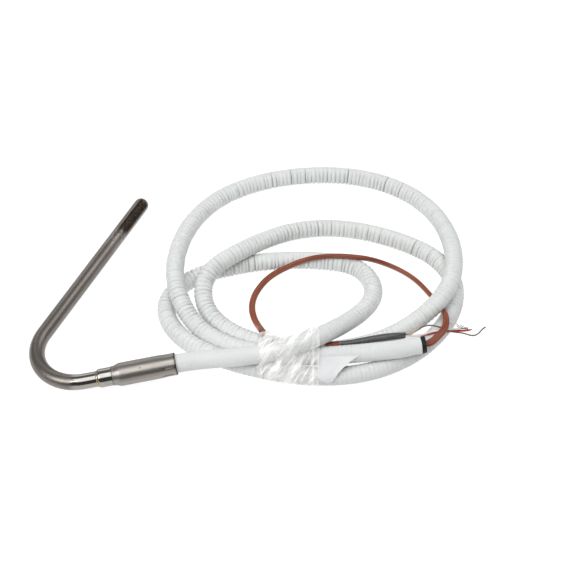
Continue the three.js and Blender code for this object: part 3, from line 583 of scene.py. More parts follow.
def turned(name, profile, around=72, shape=None, **kw):
    """A closed turned piece whose axis follows the probe. profile is a closed loop of [radius, station]."""
    prof = np.array(profile, float)
    a = np.arange(around) * 2 * math.pi / around
    r, s = np.broadcast_to(prof[:, None, 0], (len(prof), around)).copy(), np.broadcast_to(prof[:, None, 1], (len(prof), around)).copy()
    ang = np.broadcast_to(a[None], r.shape)
    if shape is not None:
        r, s = shape(r, s, ang)
    p, _, normal = probe_frame(s)
    pts = p + normal * (r * np.cos(ang))[..., None] + ACROSS * (r * np.sin(ang))[..., None]
    flat = np.stack([s, r * np.cos(ang), r * np.sin(ang)], -1)
    n = len(prof)
    quads = ring_quads(n, around)
    quads = np.concatenate([quads, bridge(np.arange(around) + (n - 1) * around, np.arange(around))])
    return build(name, pts.reshape(-1, 3), quads, flat=flat.reshape(-1, 3), **kw)


def arc_angle(direction, s):
    """The angle round the probe at station s that faces a direction."""
    _, _, normal = probe_frame(np.array([s]))
    d = np.asarray(direction, float)
    return math.atan2(d @ ACROSS, d @ normal[0])

# Brightness of the room by height above the horizon (0 to 1), how much darker it is on the camera's side,
# and the lamps.
SKY = [(0.0, 0.36), (0.30, 0.36), (0.58, 0.30), (0.76, 0.20), (1.0, 0.40)]
SKY_FRONT = 0.30
FLOOR_GLOW, FLOOR_TONE = 0.90, 0.22
LAMPS = [
    ("key", (0.14, -0.30, 1.17), (0.1, 0, 0), 1.20, 1.10, 2.25),
    ("left", (-0.70, -0.42, 0.86), (0.0, 0, 0), 0.70, 0.58, 5.2),
    ("right", (0.67, 0.47, 0.83), (0.03, 0, 0), 0.72, 0.58, 2.1),
    ("back_left", (-0.44, 1.06, 0.50), (0.1, 0, 0), 0.75, 0.60, 1.1),
]

# --------------------------------------------------------------- materials


class Mat:
    """A node material on one Principled shader."""

    def __init__(self, name, **plain):
        self.m = bpy.data.materials.new(name)
        self.m.use_nodes = True
        self.t = self.m.node_tree
        self.t.nodes.clear()
        self.out = self.t.nodes.new("ShaderNodeOutputMaterial")
        self.p = self.t.nodes.new("ShaderNodeBsdfPrincipled")
        self.t.links.new(self.p.outputs[0], self.out.inputs[0])
        self.set(**plain)

    def put(self, socket, value):
        if isinstance(value, bpy.types.NodeSocket):
            self.t.links.new(value, socket)
        elif isinstance(value, (tuple, list)) and len(value) == 3 and socket.type == "RGBA":
            socket.default_value = (*value, 1)
        else:
            socket.default_value = value

    def set(self, **values):
        for key, value in values.items():
            self.put(self.p.inputs[key.replace("_", " ")], value)
        return self

    def node(self, kind, out=0, props=None, **values):
        n = self.t.nodes.new("ShaderNode" + kind)
        for k, v in (props or {}).items():
            setattr(n, k, v)
        for k, v in values.items():
            self.put(n.inputs[int(k[1:])] if k[0] == "i" and k[1:].isdigit() else n.inputs[k.replace("_", " ")], v)
        return n.outputs[out]

    def flat(self):
        return self.node("Attribute", 1, props={"attribute_name": "flat_co"})

    def value(self, name):
        return self.node("Attribute", 2, props={"attribute_name": name})

    def object_mm(self, scale=1000.0):
        return self.stretch(self.node("TexCoord", 3), (scale,) * 3)

    def stretch(self, vector, scale, rotation=(0, 0, 0)):
        return self.node("Mapping", Vector=vector, Scale=scale, Rotation=rotation)

    def noise(self, vector, scale=1.0, detail=3.0, rough=0.5, distortion=0.0):
        return self.node("TexNoise", Vector=vector, Scale=scale, Detail=detail, Roughness=rough, Distortion=distortion)

    def split(self, vector):
        n = self.t.nodes.new("ShaderNodeSeparateXYZ")
        self.put(n.inputs[0], vector)
        return n.outputs

    def math(self, op, a, b=0.0, c=0.0, clamp=False):
        return self.node("Math", props={"operation": op, "use_clamp": clamp}, i0=a, i1=b, i2=c)

    def ramp(self, fac, *stops, smooth=True):
        n = self.t.nodes.new("ShaderNodeValToRGB")
        n.color_ramp.interpolation = "EASE" if smooth else "LINEAR"
        e = n.color_ramp.elements
        while len(e) < len(stops):
            e.new(0.5)
        for k, (at, c) in enumerate(stops):
            e[k].position = at
            e[k].color = (*c, 1) if isinstance(c, (tuple, list)) else (c, c, c, 1)
        self.put(n.inputs[0], fac)
        return n.outputs[0]

    def band(self, x, lo, hi, a=0.0, b=1.0):
        """From a to b as x goes from lo to hi."""
        return self.node("MapRange", props={"interpolation_type": "SMOOTHSTEP", "clamp": True}, i0=x, i1=lo, i2=hi, i3=a, i4=b)

    def mix(self, fac, a, b, blend="MIX"):
        n = self.t.nodes.new("ShaderNodeMix")
        n.data_type, n.blend_type = "RGBA", blend
        for i, v in ((0, fac), (6, a), (7, b)):
            self.put(n.inputs[i], v)
        return n.outputs[2]

    def bump(self, height, strength=0.2, distance=0.0001, normal=None):
        n = self.t.nodes.new("ShaderNodeBump")
        self.put(n.inputs["Strength"], strength)
        self.put(n.inputs["Distance"], distance)
        self.put(n.inputs["Height"], height)
        if normal is not None:
            self.put(n.inputs["Normal"], normal)
        return n.outputs[0]


# The side of the tip that the stain faces, as (inwards, across) on the sheath's section.
STAIN = (math.cos(arc_angle((0.56, -0.20, 0.80), 10.0)), math.sin(arc_angle((0.56, -0.20, 0.80), 10.0)))


def steel_material(name, base, rough, probe=False, polish=None, fine=0.10, shaded_recesses=False):
    """Drawn or turned stainless steel: streaks along it, a fine grain, and faint handling marks."""
    m = Mat(name, Metallic=1.0)
    f = m.flat()
    s, y, z = m.split(f)[0:3]
    streak = m.noise(m.stretch(f, (0.012, 0.55, 0.55)), 1.0, 5, 0.62)
    grain = m.noise(m.stretch(f, (0.10, 6.0, 6.0)), 1.0, 3, 0.6)
    cloud = m.noise(m.stretch(f, (0.06, 0.12, 0.12)), 1.0, 4, 0.55, 0.6)
    tone = m.mix(m.ramp(streak, (0.30, 0.0), (0.70, 1.0)), tuple(c * 0.82 for c in base), tuple(c * 1.20 for c in base))
    tone = m.mix(m.math("MULTIPLY", m.ramp(cloud, (0.35, 0.0), (0.75, 1.0)), 0.35), tone, tuple(c * w for c, w in zip(base, (0.80, 0.74, 0.68))))
    r = m.math("ADD", m.math("MULTIPLY", grain, fine), rough - fine * 0.5)
    r = m.math("ADD", r, m.math("MULTIPLY", m.math("SUBTRACT", cloud, 0.5), 0.10))
    if polish:
        on = m.math("MULTIPLY", m.band(s, polish[0], polish[0] + polish[2], 0, 1), m.band(s, polish[1] - 0.5, polish[1], 1, 0))
        r = m.math("ADD", m.math("MULTIPLY", r, m.math("SUBTRACT", 1.0, on)), m.math("MULTIPLY", on, 0.09))
        tone = m.mix(on, tone, (0.325, 0.312, 0.29))
    if probe:
        # soot and heat stain on the tip, on the side that faces up and inwards
        facing = m.math("ADD", m.math("MULTIPLY", y, STAIN[0] / 4.75), m.math("MULTIPLY", z, STAIN[1] / 4.75))
        ragged = m.noise(m.stretch(f, (0.30, 0.45, 0.45)), 1.0, 5, 0.62, 0.5)
        where = m.math("ADD", m.band(facing, 0.58, 0.90, 0, 1), m.math("MULTIPLY", m.math("SUBTRACT", ragged, 0.5), 0.6))
        length = m.math("MULTIPLY", m.band(s, -2.6, 0.4, 0, 1), m.band(m.math("ADD", s, m.math("MULTIPLY", m.math("SUBTRACT", ragged, 0.5), 16.0)), 26.5, 31.5, 1, 0))
        soot = m.math("MULTIPLY", m.band(where, 0.34, 0.60, 0, 1), length)
        fleck = m.noise(m.stretch(f, (0.75, 0.9, 0.9)), 1.0, 4, 0.7)
        soot = m.math("MULTIPLY", soot, m.ramp(fleck, (0.26, 0.45), (0.56, 1.0)))
        straw = m.math("MULTIPLY", m.band(s, 14.0, 40.0, 1, 0), m.ramp(ragged, (0.3, 0.15), (0.75, 0.65)))
        tone = m.mix(m.math("MULTIPLY", straw, 0.55), tone, (0.20, 0.135, 0.095))
        tone = m.mix(soot, tone, (0.030, 0.021, 0.017))
        r = m.math("ADD", r, m.math("MULTIPLY", soot, 0.16))
        # a bright worn patch just behind the stain
        worn = m.math("MULTIPLY", m.math("MULTIPLY", m.band(s, 26, 30, 0, 1), m.band(s, 36, 46, 1, 0)), m.ramp(fleck, (0.50, 0.0), (0.62, 1.0)))
        tone = m.mix(m.math("MULTIPLY", worn, 0.55), tone, (0.52, 0.49, 0.46))
    if shaded_recesses:
        # painted shade in the recesses and gaps picked out by the shade attribute
        tone = m.mix(m.value("crease_shade"), tone, (0.030, 0.026, 0.022))
    m.set(Base_Color=tone, Roughness=r, Normal=m.bump(m.noise(m.stretch(f, (0.25, 9.0, 9.0)), 1.0, 2, 0.5), 0.10, 0.00005))
    return m.m


def turned_material(name, base, rough, rings=7.0, depth=0.12):
    """Machined metal with fine lines round it."""
    m = Mat(name, Metallic=1.0)
    f = m.flat()
    lines = m.noise(m.stretch(f, (rings, 0.05, 0.05)), 1.0, 4, 0.7)
    cloud = m.noise(m.stretch(f, (0.2, 0.25, 0.25)), 1.0, 4, 0.6, 0.4)
    tone = m.mix(m.ramp(cloud, (0.35, 0.0), (0.7, 1.0)), tuple(c * 0.88 for c in base), tuple(min(1, c * 1.1) for c in base))
    r = m.math("ADD", m.math("MULTIPLY", lines, 0.10), rough - 0.05)
    m.set(Base_Color=tone, Roughness=r, Normal=m.bump(lines, depth, 0.00004))
    return m.m


def jacket_material():
    """White extruded jacket over a spiral: painted shade in its creases, with a soft sheen."""
    m = Mat("jacket_white", Metallic=0.0)
    f = m.flat()
    crease_shade = m.value("crease_shade")
    cloud = m.noise(m.stretch(f, (0.045, 0.22, 0.22)), 1.0, 4, 0.55, 0.5)
    grime = m.noise(m.stretch(f, (0.6, 0.5, 0.5)), 1.0, 5, 0.65)
    tone = m.mix(m.ramp(cloud, (0.30, 0.0), (0.72, 1.0)), (0.632, 0.652, 0.643), (0.680, 0.692, 0.680))
    tone = m.mix(m.math("MULTIPLY", m.ramp(grime, (0.58, 0.0), (0.78, 1.0)), 0.10), tone, (0.60, 0.58, 0.53))
    # painted shade in the creases, its strength varied by the grime noise
    tone = m.mix(m.math("MULTIPLY", crease_shade, m.math("ADD", 0.55, m.math("MULTIPLY", grime, 0.5))), tone, (0.34, 0.335, 0.32))
    r = m.math("ADD", m.math("MULTIPLY", cloud, 0.14), 0.40)
    pits = m.noise(m.stretch(f, (1.6, 1.6, 1.6)), 1.0, 3, 0.55)
    waves = m.noise(m.stretch(f, (0.55, 0.28, 0.28)), 1.0, 3, 0.5, 0.8)
    n = m.bump(waves, 0.16, 0.0002, m.bump(pits, 0.06, 0.00004))
    m.set(Base_Color=tone, Roughness=r, Normal=n, Specular_IOR_Level=0.16)
    return m.m


def cable_material():
    """Brown fluoropolymer cable jacket: glossy, drawn lengthwise, with two faint ridges of the cores inside."""
    m = Mat("cable_brown", Metallic=0.0)
    f = m.flat()
    drawn = m.noise(m.stretch(f, (0.05, 1.1, 1.1)), 1.0, 4, 0.6)
    cloud = m.noise(m.stretch(f, (0.09, 0.3, 0.3)), 1.0, 4, 0.6, 0.8)
    tone = m.mix(m.ramp(drawn, (0.30, 0.0), (0.72, 1.0)), (0.160, 0.038, 0.018), (0.280, 0.083, 0.043))
    tone = m.mix(m.math("MULTIPLY", m.ramp(cloud, (0.50, 0.0), (0.72, 1.0)), 0.25), tone, (0.30, 0.12, 0.072))
    r = m.math("ADD", m.math("MULTIPLY", cloud, 0.18), 0.24)
    m.set(Base_Color=tone, Roughness=r, Normal=m.bump(m.noise(m.stretch(f, (0.35, 1.6, 1.6)), 1.0, 3, 0.5), 0.22, 0.00012), Specular_IOR_Level=0.24)
    return m.m


def polymer(name, a, b, rough=0.4, scale=(0.4, 1.2, 1.2), bump=0.15, spec=0.5, coat=0.0):
    """Extruded or moulded plastic: two close tones, flow marks along it and a fine surface texture."""
    m = Mat(name, Metallic=0.0)
    f = m.flat()
    flow = m.noise(m.stretch(f, scale), 1.0, 4, 0.6, 0.4)
    fine = m.noise(m.stretch(f, tuple(6 * c for c in scale)), 1.0, 3, 0.55)
    m.set(
        Base_Color=m.mix(m.ramp(flow, (0.3, 0.0), (0.7, 1.0)), a, b),
        Roughness=m.math("ADD", m.math("MULTIPLY", fine, 0.16), rough - 0.08),
        Normal=m.bump(fine, bump, 0.00006, m.bump(flow, bump, 0.0001)),
        Specular_IOR_Level=spec,
        Coat_Weight=coat,
        Coat_Roughness=0.15,
    )
    return m.m


def film_material():
    """Clear stretch film wound over itself: nearly clear, milky where it is drawn into pleats; the milky streaks are
    partly painted highlights and glow with a painted white light.
    """
    m = Mat("film_clear", Metallic=0.0)
    f = m.value("pleat_and_highlight")
    co = m.flat()
    hair = m.noise(m.stretch(co, (0.075, 0.46, 1.0)), 1.0, 3, 0.5, 0.35)
    wide = m.noise(m.stretch(co, (0.04, 0.18, 1.0)), 1.0, 2, 0.5, 0.4)
    # milky streaks: partly the film's own milkiness, partly painted highlights of its pleats
    milk_and_highlight = m.math("ADD", m.math("MULTIPLY", m.ramp(hair, (0.48, 0.0), (0.64, 1.0)), 0.50), m.math("MULTIPLY", m.ramp(wide, (0.46, 0.0), (0.60, 1.0)), 0.50))
    milk_and_highlight = m.math("ADD", m.math("MULTIPLY", milk_and_highlight, 0.70), m.math("MULTIPLY", f, 0.42), clamp=True)
    tone = m.mix(milk_and_highlight, (0.90, 0.90, 0.88), (1.0, 1.0, 1.0))
    m.set(
        Base_Color=tone,
        Alpha=m.math("ADD", m.math("MULTIPLY", milk_and_highlight, 0.60), 0.12, clamp=True),
        # a white glow on the milky streaks: painted light standing in for light that passes through the film
        Emission_Color=(1, 1, 1),
        Emission_Strength=m.math("MULTIPLY", milk_and_highlight, 0.22),
        Roughness=m.math("ADD", m.math("MULTIPLY", wide, 0.16), 0.10),
        Normal=m.bump(hair, 0.16, 0.0003, m.bump(wide, 0.45, 0.0010)),
        Specular_IOR_Level=0.85,
    )
    return m.m


def paper_material():
    m = Mat("label_paper", Metallic=0.0)
    f = m.flat()
    fibre = m.noise(m.stretch(f, (2.2, 2.2, 1.0)), 1.0, 5, 0.65)
    cloud = m.noise(m.stretch(f, (0.12, 0.12, 1.0)), 1.0, 3, 0.5)
    m.set(
        Base_Color=m.mix(m.ramp(cloud, (0.3, 0.0), (0.7, 1.0)), (0.655, 0.670, 0.675), (0.710, 0.724, 0.726)),
        Roughness=m.math("ADD", m.math("MULTIPLY", fibre, 0.14), 0.36),
        Normal=m.bump(fibre, 0.12, 0.00004),
        Specular_IOR_Level=0.5,
    )
    return m.m


def inner_material(name, a, b, metallic=0.0, rough=0.6, scale=0.8, stretch=(1, 1, 1)):
    """For the pieces inside: cement, ceramic, fibre sleeve, leads."""
    m = Mat(name, Metallic=metallic)
    co = m.stretch(m.object_mm(), stretch)
    n = m.noise(co, scale, 5, 0.62, 0.3)
    fine = m.noise(co, scale * 6, 3, 0.55)
    m.set(
        Base_Color=m.mix(m.ramp(n, (0.32, 0.0), (0.68, 1.0)), a, b),
        Roughness=m.math("ADD", m.math("MULTIPLY", fine, 0.2), rough - 0.1),
        Normal=m.bump(fine, 0.2, 0.00005),
    )
    return m.m


STEEL = (0.205, 0.187, 0.170)
M = {
    "sheath": steel_material("steel_sheath", STEEL, 0.37, probe=True, polish=(ARM - 9.5, ARM + 8.0, 5.0)),
    "ferrule": steel_material("steel_ferrule", (0.300, 0.281, 0.259), 0.37, fine=0.12, shaded_recesses=True),
    "collar": turned_material("steel_polished", (0.345, 0.33, 0.305), 0.11),
    "braze": turned_material("braze_gold", (0.50, 0.42, 0.24), 0.34, 2.0, 0.25),
    "jacket": jacket_material(),
    "armour": turned_material("armour_galvanised", (0.42, 0.44, 0.45), 0.34, 1.5, 0.15),
    "cable": cable_material(),
    "black": polymer("plastic_black", (0.004, 0.004, 0.004), (0.010, 0.0095, 0.0095), 0.55, (0.7, 0.7, 0.7), 0.2, 0.3),
    "shrink": polymer("shrink_grey", (0.046, 0.045, 0.047), (0.082, 0.079, 0.081), 0.40, (0.25, 1.3, 1.3), 0.35, 0.6),
    "red": polymer("insulation_red", (0.42, 0.012, 0.010), (0.60, 0.030, 0.022), 0.30, (0.3, 1.5, 1.5), 0.12, 0.55, 0.2),
    "white": polymer("insulation_white", (0.70, 0.62, 0.60), (0.80, 0.74, 0.72), 0.32, (0.3, 1.5, 1.5), 0.12, 0.55, 0.1),
    "drain": turned_material("wire_tinned", (0.17, 0.165, 0.15), 0.36, 1.2, 0.3),
    "loose": polymer("strand_cream", (0.46, 0.40, 0.30), (0.66, 0.60, 0.48), 0.5, (0.5, 2, 2), 0.1),
    "film": film_material(),
    "paper": paper_material(),
}
INNER = {
    "ceramic": inner_material("ceramic", (0.78, 0.74, 0.66), (0.86, 0.83, 0.76), 0, 0.55),
    "cement": inner_material("cement", (0.55, 0.52, 0.45), (0.70, 0.66, 0.58), 0, 0.85, 1.2),
    "fibre": inner_material("fibre_sleeve", (0.62, 0.58, 0.46), (0.76, 0.72, 0.60), 0, 0.8, 1.6, (0.4, 2, 2)),
    "lead": inner_material("lead_nickel", (0.52, 0.50, 0.46), (0.62, 0.60, 0.56), 1, 0.3, 2.0),
    "copper": inner_material("copper", (0.62, 0.30, 0.17), (0.75, 0.40, 0.25), 1, 0.3, 2.0),
    "black": inner_material("bush_black", (0.012, 0.012, 0.012), (0.022, 0.021, 0.020), 0, 0.45),
}


def dress(o, key, slot, *replaced):
    o.data.materials.append(M[key])
    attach(o, "root")
    if replaced:
        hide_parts(*replaced)
    return o

# ------------------------------------------------------------- the conduit
conduit = Line(CONDUIT_ROUTE)
CONDUIT_END = conduit.length - 1.6  # the bushing's flange covers the rest
CONDUIT_R = 5.56
BORE_R = 4.42

# How deep the jacket's creases are on the inside and on the outside of a bend, along its length.
DEPTH = np.array(
    [  # station, inside, outside
        [0, 0.03, 0.02], [40, 0.05, 0.03], [95, 0.09, 0.05], [130, 0.20, 0.09], [150, 0.34, 0.16],
        [168, 0.52, 0.30], [192, 0.50, 0.24], [204, 0.50, 0.05], [262, 0.50, 0.05], [276, 0.48, 0.34],
        [318, 0.52, 0.42], [372, 0.46, 0.38], [400, 0.18, 0.14], [450, 0.12, 0.08], [500, 0.13, 0.10],
        [535, 0.24, 0.18], [585, 0.34, 0.24], [612, 0.30, 0.12], [640, 0.44, 0.04], [700, 0.48, 0.04],
        [735, 0.48, 0.20], [775, 0.52, 0.32], [810, 0.36, 0.20], [840, 0.19, 0.12], [880, 0.16, 0.10],
        [960, 0.20, 0.16], [1010, 0.24, 0.18], [1050, 0.28, 0.14], [1080, 0.40, 0.04], [1130, 0.48, 0.03],
        [1190, 0.50, 0.04], [1215, 0.48, 0.20], [1260, 0.46, 0.30], [1320, 0.44, 0.26], [1352, 0.24, 0.14],
        [1385, 0.06, 0.04], [1430, 0.06, 0.03], [1480, 0.05, 0.03],
    ]
)
# Sharp creases right round it, where the spiral inside has pulled apart: [station, depth].
SHARP = [[206.2, 0.25], [215.9, 0.25], [264.4, 0.4], [268.5, 0.3], [607.8, 0.36], [620.4, 0.48], [644.1, 0.3], [652.7, 0.12], [677.8, 0.36], [687.2, 0.42], [701.8, 0.28], [735.3, 0.15], [1045.4, 0.1], [1080.0, 0.35], [1091.6, 0.55], [1118.9, 0.5], [1133.0, 0.12], [1148.5, 0.3], [1158.6, 0.42], [1172.1, 0.38], [1198.0, 0.22]]


def conduit_stations():
    rng = np.random.default_rng(11)
    edges, s = [0.0], 0.0
    while s < CONDUIT_END - 1.6:
        s += float(np.clip(2.72 * (1 + 0.12 * rng.normal()), 2.0, 3.6))
        edges.append(s)
    edges[-1] = CONDUIT_END
    edges = np.array(edges)
    for at, _ in SHARP:  # the nearest crease moves to each sharp one
        edges[np.abs(edges[1:-1] - at).argmin() + 1] = at
    edges = np.unique(edges)
    keep = [edges[0]]
    for e in edges[1:]:
        if e - keep[-1] > 1.2:
            keep.append(e)
    keep[-1] = CONDUIT_END
    return np.array(keep), rng


def make_conduit():
    edges, rng = conduit_stations()
    n = len(edges)
    around = 40
    parts = np.array([0.0, 0.06, 0.14, 0.25, 0.40, 0.60, 0.75, 0.86, 0.94])
    s = (edges[:-1, None] + np.diff(edges)[:, None] * parts[None]).ravel()
    s = np.append(s, CONDUIT_END)
    ridge = np.clip(np.searchsorted(edges, s, side="right") - 1, 0, n - 2)
    left, right = s - edges[ridge], edges[ridge + 1] - s
    nearest = np.where(left <= right, ridge, ridge + 1)
    d = np.minimum(left, right)
    width = edges[ridge + 1] - edges[ridge]
    t = left / width
    depth_scale = np.clip(1 + 0.26 * rng.normal(size=n), 0.4, 1.7)
    tilt = 0.16 * rng.normal(size=n)
    tilt_at = rng.uniform(0, 2 * math.pi, n)
    crown = np.clip(1 + 0.5 * rng.normal(size=n), 0, 2.2)
    sharp = np.zeros(n)
    for at, deep in SHARP:
        sharp[np.abs(edges - at).argmin()] = deep
    p, tang, side, up = conduit.at(s)
    a = np.arange(around) * 2 * math.pi / around
    n_dir = np.cos(a)[None, :, None] * side[:, None] + np.sin(a)[None, :, None] * up[:, None]
    bend = conduit.take(conduit.bends, s)
    strength = np.linalg.norm(bend, axis=1)
    inward = bend / np.maximum(strength, 1e-9)[:, None]
    inside = (n_dir * inward[:, None]).sum(-1)
    w = smoothstep(inside, -0.45, 0.95) ** 1.35
    deep_in, deep_out = np.interp(s, DEPTH[:, 0], DEPTH[:, 1]), np.interp(s, DEPTH[:, 0], DEPTH[:, 2])
    patchy = 1 + 0.28 * value_noise(s / 21.0, s * 0 + 3.3, 5)
    depth = 1.7 * (deep_out[:, None] + (deep_in - deep_out)[:, None] * w) * (depth_scale[nearest] * patchy)[:, None]
    around_noise = value_noise(np.broadcast_to((nearest * 3.7)[:, None], depth.shape), np.broadcast_to(a[None] * 1.6, depth.shape), 9)
    depth = depth * (1 + 0.35 * around_noise)
    valley = (1 - np.sin(math.pi * np.clip(t, 0, 1)) ** 0.88)[:, None]
    cut = np.exp(-((d / 0.26) ** 2))[:, None] * sharp[nearest][:, None] * (0.65 + 0.35 * w)
    bulge = (np.sin(math.pi * t) - 0.35)[:, None] * np.minimum(depth, 0.5) * 0.26 * crown[ridge][:, None]
    slow = 0.05 * value_noise(np.broadcast_to((s / 9.0)[:, None], depth.shape), np.broadcast_to(a[None] * 0.95, depth.shape), 21)
    size = CONDUIT_R - 0.36 * smoothstep(s, CONDUIT_END - 13, CONDUIT_END - 1)
    r = size[:, None] - depth * (valley - 0.20) - cut + bulge + slow
    r = np.clip(r, BORE_R + 0.10, size[:, None] + 0.30 * smoothstep(s, 4, 60)[:, None])
    shift = (tilt[nearest][:, None] * np.cos(a[None] - tilt_at[nearest][:, None])) * np.exp(-((d / 0.9) ** 2))[:, None]
    fade = smoothstep(s, 0, 3) * smoothstep(CONDUIT_END - s, 0, 3)
    shift = shift * fade[:, None]
    section = np.stack([np.cos(a)[None] * r, np.sin(a)[None] * r], -1)
    pts = p[:, None] + section[..., :1] * side[:, None] + section[..., 1:] * up[:, None] + shift[..., None] * tang[:, None]
    near_end = smoothstep(s, 1384, 1412) * (1 - smoothstep(s, CONDUIT_END - 16, CONDUIT_END - 2))
    pts = pts + near_end[:, None, None] * np.array([0, -0.60, -0.12])  # clear of the sleeve beside it
    pts[..., 2] = np.maximum(pts[..., 2], 0.02)  # it lies flat on the floor
    flat = np.concatenate([np.broadcast_to(s[:, None, None], (*r.shape, 1)), section], -1)
    # painted shade along each crease, darker where the crease is deeper and darkest in the sharp creases
    line = np.exp(-((d / 0.30) ** 2))[:, None]
    crease_shade = np.clip(depth * line * 0.30 + cut * 2.4, 0, 1)
    # the bore
    sb = np.linspace(0, CONDUIT_END, int(conduit.length / 2.5))
    pb, _, sideb, upb = conduit.at(sb)
    secb = np.stack([np.cos(a) * BORE_R, np.sin(a) * BORE_R], -1)
    bore = pb[:, None] + secb[None, :, :1] * sideb[:, None] + secb[None, :, 1:] * upb[:, None]
    flatb = np.concatenate([np.broadcast_to(sb[:, None, None], (len(sb), around, 1)), np.broadcast_to(secb[None], (len(sb), around, 2))], -1)
    no, nb = len(s) * around, len(sb) * around
    quads = [ring_quads(len(s), around), ring_quads(len(sb), around, no)[:, ::-1]]
    first, last = np.arange(around), np.arange(around) + (len(s) - 1) * around
    quads += [bridge(first + no, first), bridge(last, np.arange(around) + no + (len(sb) - 1) * around)]
    o = build(
        "conduit_jacket_skin",
        np.concatenate([pts.reshape(-1, 3), bore.reshape(-1, 3)]),
        np.concatenate(quads),
        flat=np.concatenate([flat.reshape(-1, 3), flatb.reshape(-1, 3)]),
        extra={"crease_shade": np.concatenate([crease_shade.ravel(), np.zeros(nb)])},
        sharp=60,
    )
    return o, p


conduit_skin, conduit_path = make_conduit()
dress(conduit_skin, "jacket", "jacket", "conduit_jacket")


def make_armour():
    """Interlocked steel strip inside the jacket: a spiral of rounded steps."""
    s = np.arange(0.6, conduit.length - 0.4, 0.75)
    around = 20
    a = np.arange(around) * 2 * math.pi / around
    phase = (s[:, None] / 3.0 + a[None] / (2 * math.pi)) % 1.0
    r = 3.98 - 0.22 * (smoothstep(phase, 0.0, 0.2) * (1 - smoothstep(phase, 0.55, 0.75)))
    outer = np.stack([np.cos(a)[None] * r, np.sin(a)[None] * r], -1)
    p, t, side, up = conduit.at(s)
    pts = p[:, None] + outer[..., :1] * side[:, None] + outer[..., 1:] * up[:, None]
    inner = np.stack([np.cos(a)[None] * (r - 0.5), np.sin(a)[None] * (r - 0.5)], -1)
    pin = p[:, None] + inner[..., :1] * side[:, None] + inner[..., 1:] * up[:, None]
    no = len(s) * around
    first, last = np.arange(around), np.arange(around) + (len(s) - 1) * around
    quads = np.concatenate([ring_quads(len(s), around), ring_quads(len(s), around, no)[:, ::-1], bridge(first + no, first), bridge(last, last + no)])
    flat = np.concatenate([np.broadcast_to(s[:, None, None], (*r.shape, 1)), outer], -1).reshape(-1, 3)
    flat_in = np.concatenate([np.broadcast_to(s[:, None, None], (*r.shape, 1)), inner], -1).reshape(-1, 3)
    return build("armour_strip", np.concatenate([pts.reshape(-1, 3), pin.reshape(-1, 3)]), quads, flat=np.concatenate([flat, flat_in]))


armour = dress(make_armour(), "armour", "armour", "conduit_armour")

# ----------------------------------------------------------- sensor cable


def oval(a, half_w, half_h, turn, power=2.4):
    """A rounded flat section: two cores side by side under one jacket."""
    c, s_ = np.cos(a), np.sin(a)
    x = np.sign(c) * np.abs(c) ** (2 / power) * half_w[..., None]
    y = np.sign(s_) * np.abs(s_) ** (2 / power) * half_h[..., None]
    waist = 1 - 0.045 * np.exp(-((np.cos(a) / 0.30) ** 2))  # a faint groove between the cores
    y = y * waist
    ct, st = np.cos(turn)[..., None], np.sin(turn)[..., None]
    return np.stack([x * ct - y * st, x * st + y * ct], -1)


def facing_angle(line, s, direction):
    """The angle across the line, at each s, that faces a direction."""
    _, t, side, up = line.at(s)
    d = np.asarray(direction, float)
    return np.arctan2((up * d).sum(-1), (side * d).sum(-1))


def make_cable(name, line, s0, s1, step, flatness, twist=None, around=28, half_w=2.02, half_h=1.46):
    s = np.append(np.arange(s0, s1 - 0.3 * step, step), s1)
    a = np.arange(around) * 2 * math.pi / around
    turn = np.zeros(len(s)) if twist is None else twist(s)
    wob = 1 + 0.018 * value_noise(s / 6.0, s * 0 + 1.7, 3)
    k = flatness(s)
    w = (1.65 + (half_w - 1.65) * k) * wob * (1 + 0.10 * smoothstep(s, 7, 12) * (1 - smoothstep(s, 30, 42)))
    h = (1.65 + (half_h - 1.65) * k) * wob
    return swept(name, line, s, oval(a, w, h, turn)), line.at(s)[0]


run = Line(CABLE_RUN)
cable_inside, _ = make_cable("cable_inside", run, 0.3, run.length - 0.3, 4.0, lambda s: s * 0, around=14)
dress(cable_inside, "cable", "cable_jacket", "sensor_cable_run")

tail = Line(CABLE_TAIL)


def tail_twist(s):
    """The cable's broad side faces up where it leaves the bushing and rolls slowly along the way."""
    up = np.unwrap(facing_angle(tail, s, (0, -0.643, 0.766)))
    roll = np.interp(s, [0, 10, 26, 45, 70, 120, 150, 185, 205, 235, 262, 285, 300], [0.15, 0.1, 0.5, 1.1, 1.45, 1.2, 1.25, 0.75, 0.35, 0.20, 0.45, 0.9, 1.0])
    return up + math.pi / 2 + roll


cable_tail, tail_path = make_cable(
    "cable_tail", tail, 0.0, tail.length, 0.9, lambda s: smoothstep(s, 6.0, 11.0) * (1 - smoothstep(s, tail.length - 6, tail.length - 1.5)), tail_twist, around=32
)
dress(cable_tail, "cable", "cable_jacket", "sensor_cable_tail")

# ---------------------------------------------------------------- bushing
END = np.array(CONDUIT_ROUTE[-1], float)
OUT = unit(END - np.array(CONDUIT_ROUTE[-2], float))


def lathe_at(name, profile, origin, direction, around=64, shape=None, **kw):
    """A closed turned piece on a straight axis."""
    d = unit(direction)
    side = unit(np.cross(d, [0, 0, 1.0]))
    up = np.cross(side, d)
    prof = np.array(profile, float)
    a = np.arange(around) * 2 * math.pi / around
    r, s = np.broadcast_to(prof[:, None, 0], (len(prof), around)).copy(), np.broadcast_to(prof[:, None, 1], (len(prof), around)).copy()
    if shape is not None:
        r, s = shape(r, s, np.broadcast_to(a[None], r.shape))
    ang = np.broadcast_to(a[None], r.shape)
    pts = np.asarray(origin) + d * s[..., None] + side * (r * np.cos(ang))[..., None] + up * (r * np.sin(ang))[..., None]
    n = len(prof)
    quads = np.concatenate([ring_quads(n, around), bridge(np.arange(around) + (n - 1) * around, np.arange(around))])
    flat = np.stack([s, r * np.cos(ang), r * np.sin(ang)], -1)
    return build(name, pts.reshape(-1, 3), quads, flat=flat.reshape(-1, 3), **kw)


def bushing_shape(r, s, a):
    # small grip notches round the flange's rim
    rim = (r > 4.5) & (s > -1.6)
    notch = 0.34 * smoothstep(np.cos(a * 11), 0.60, 0.92) * smoothstep(s, -0.6, 0.2)
    return np.where(rim, r - notch, r), s


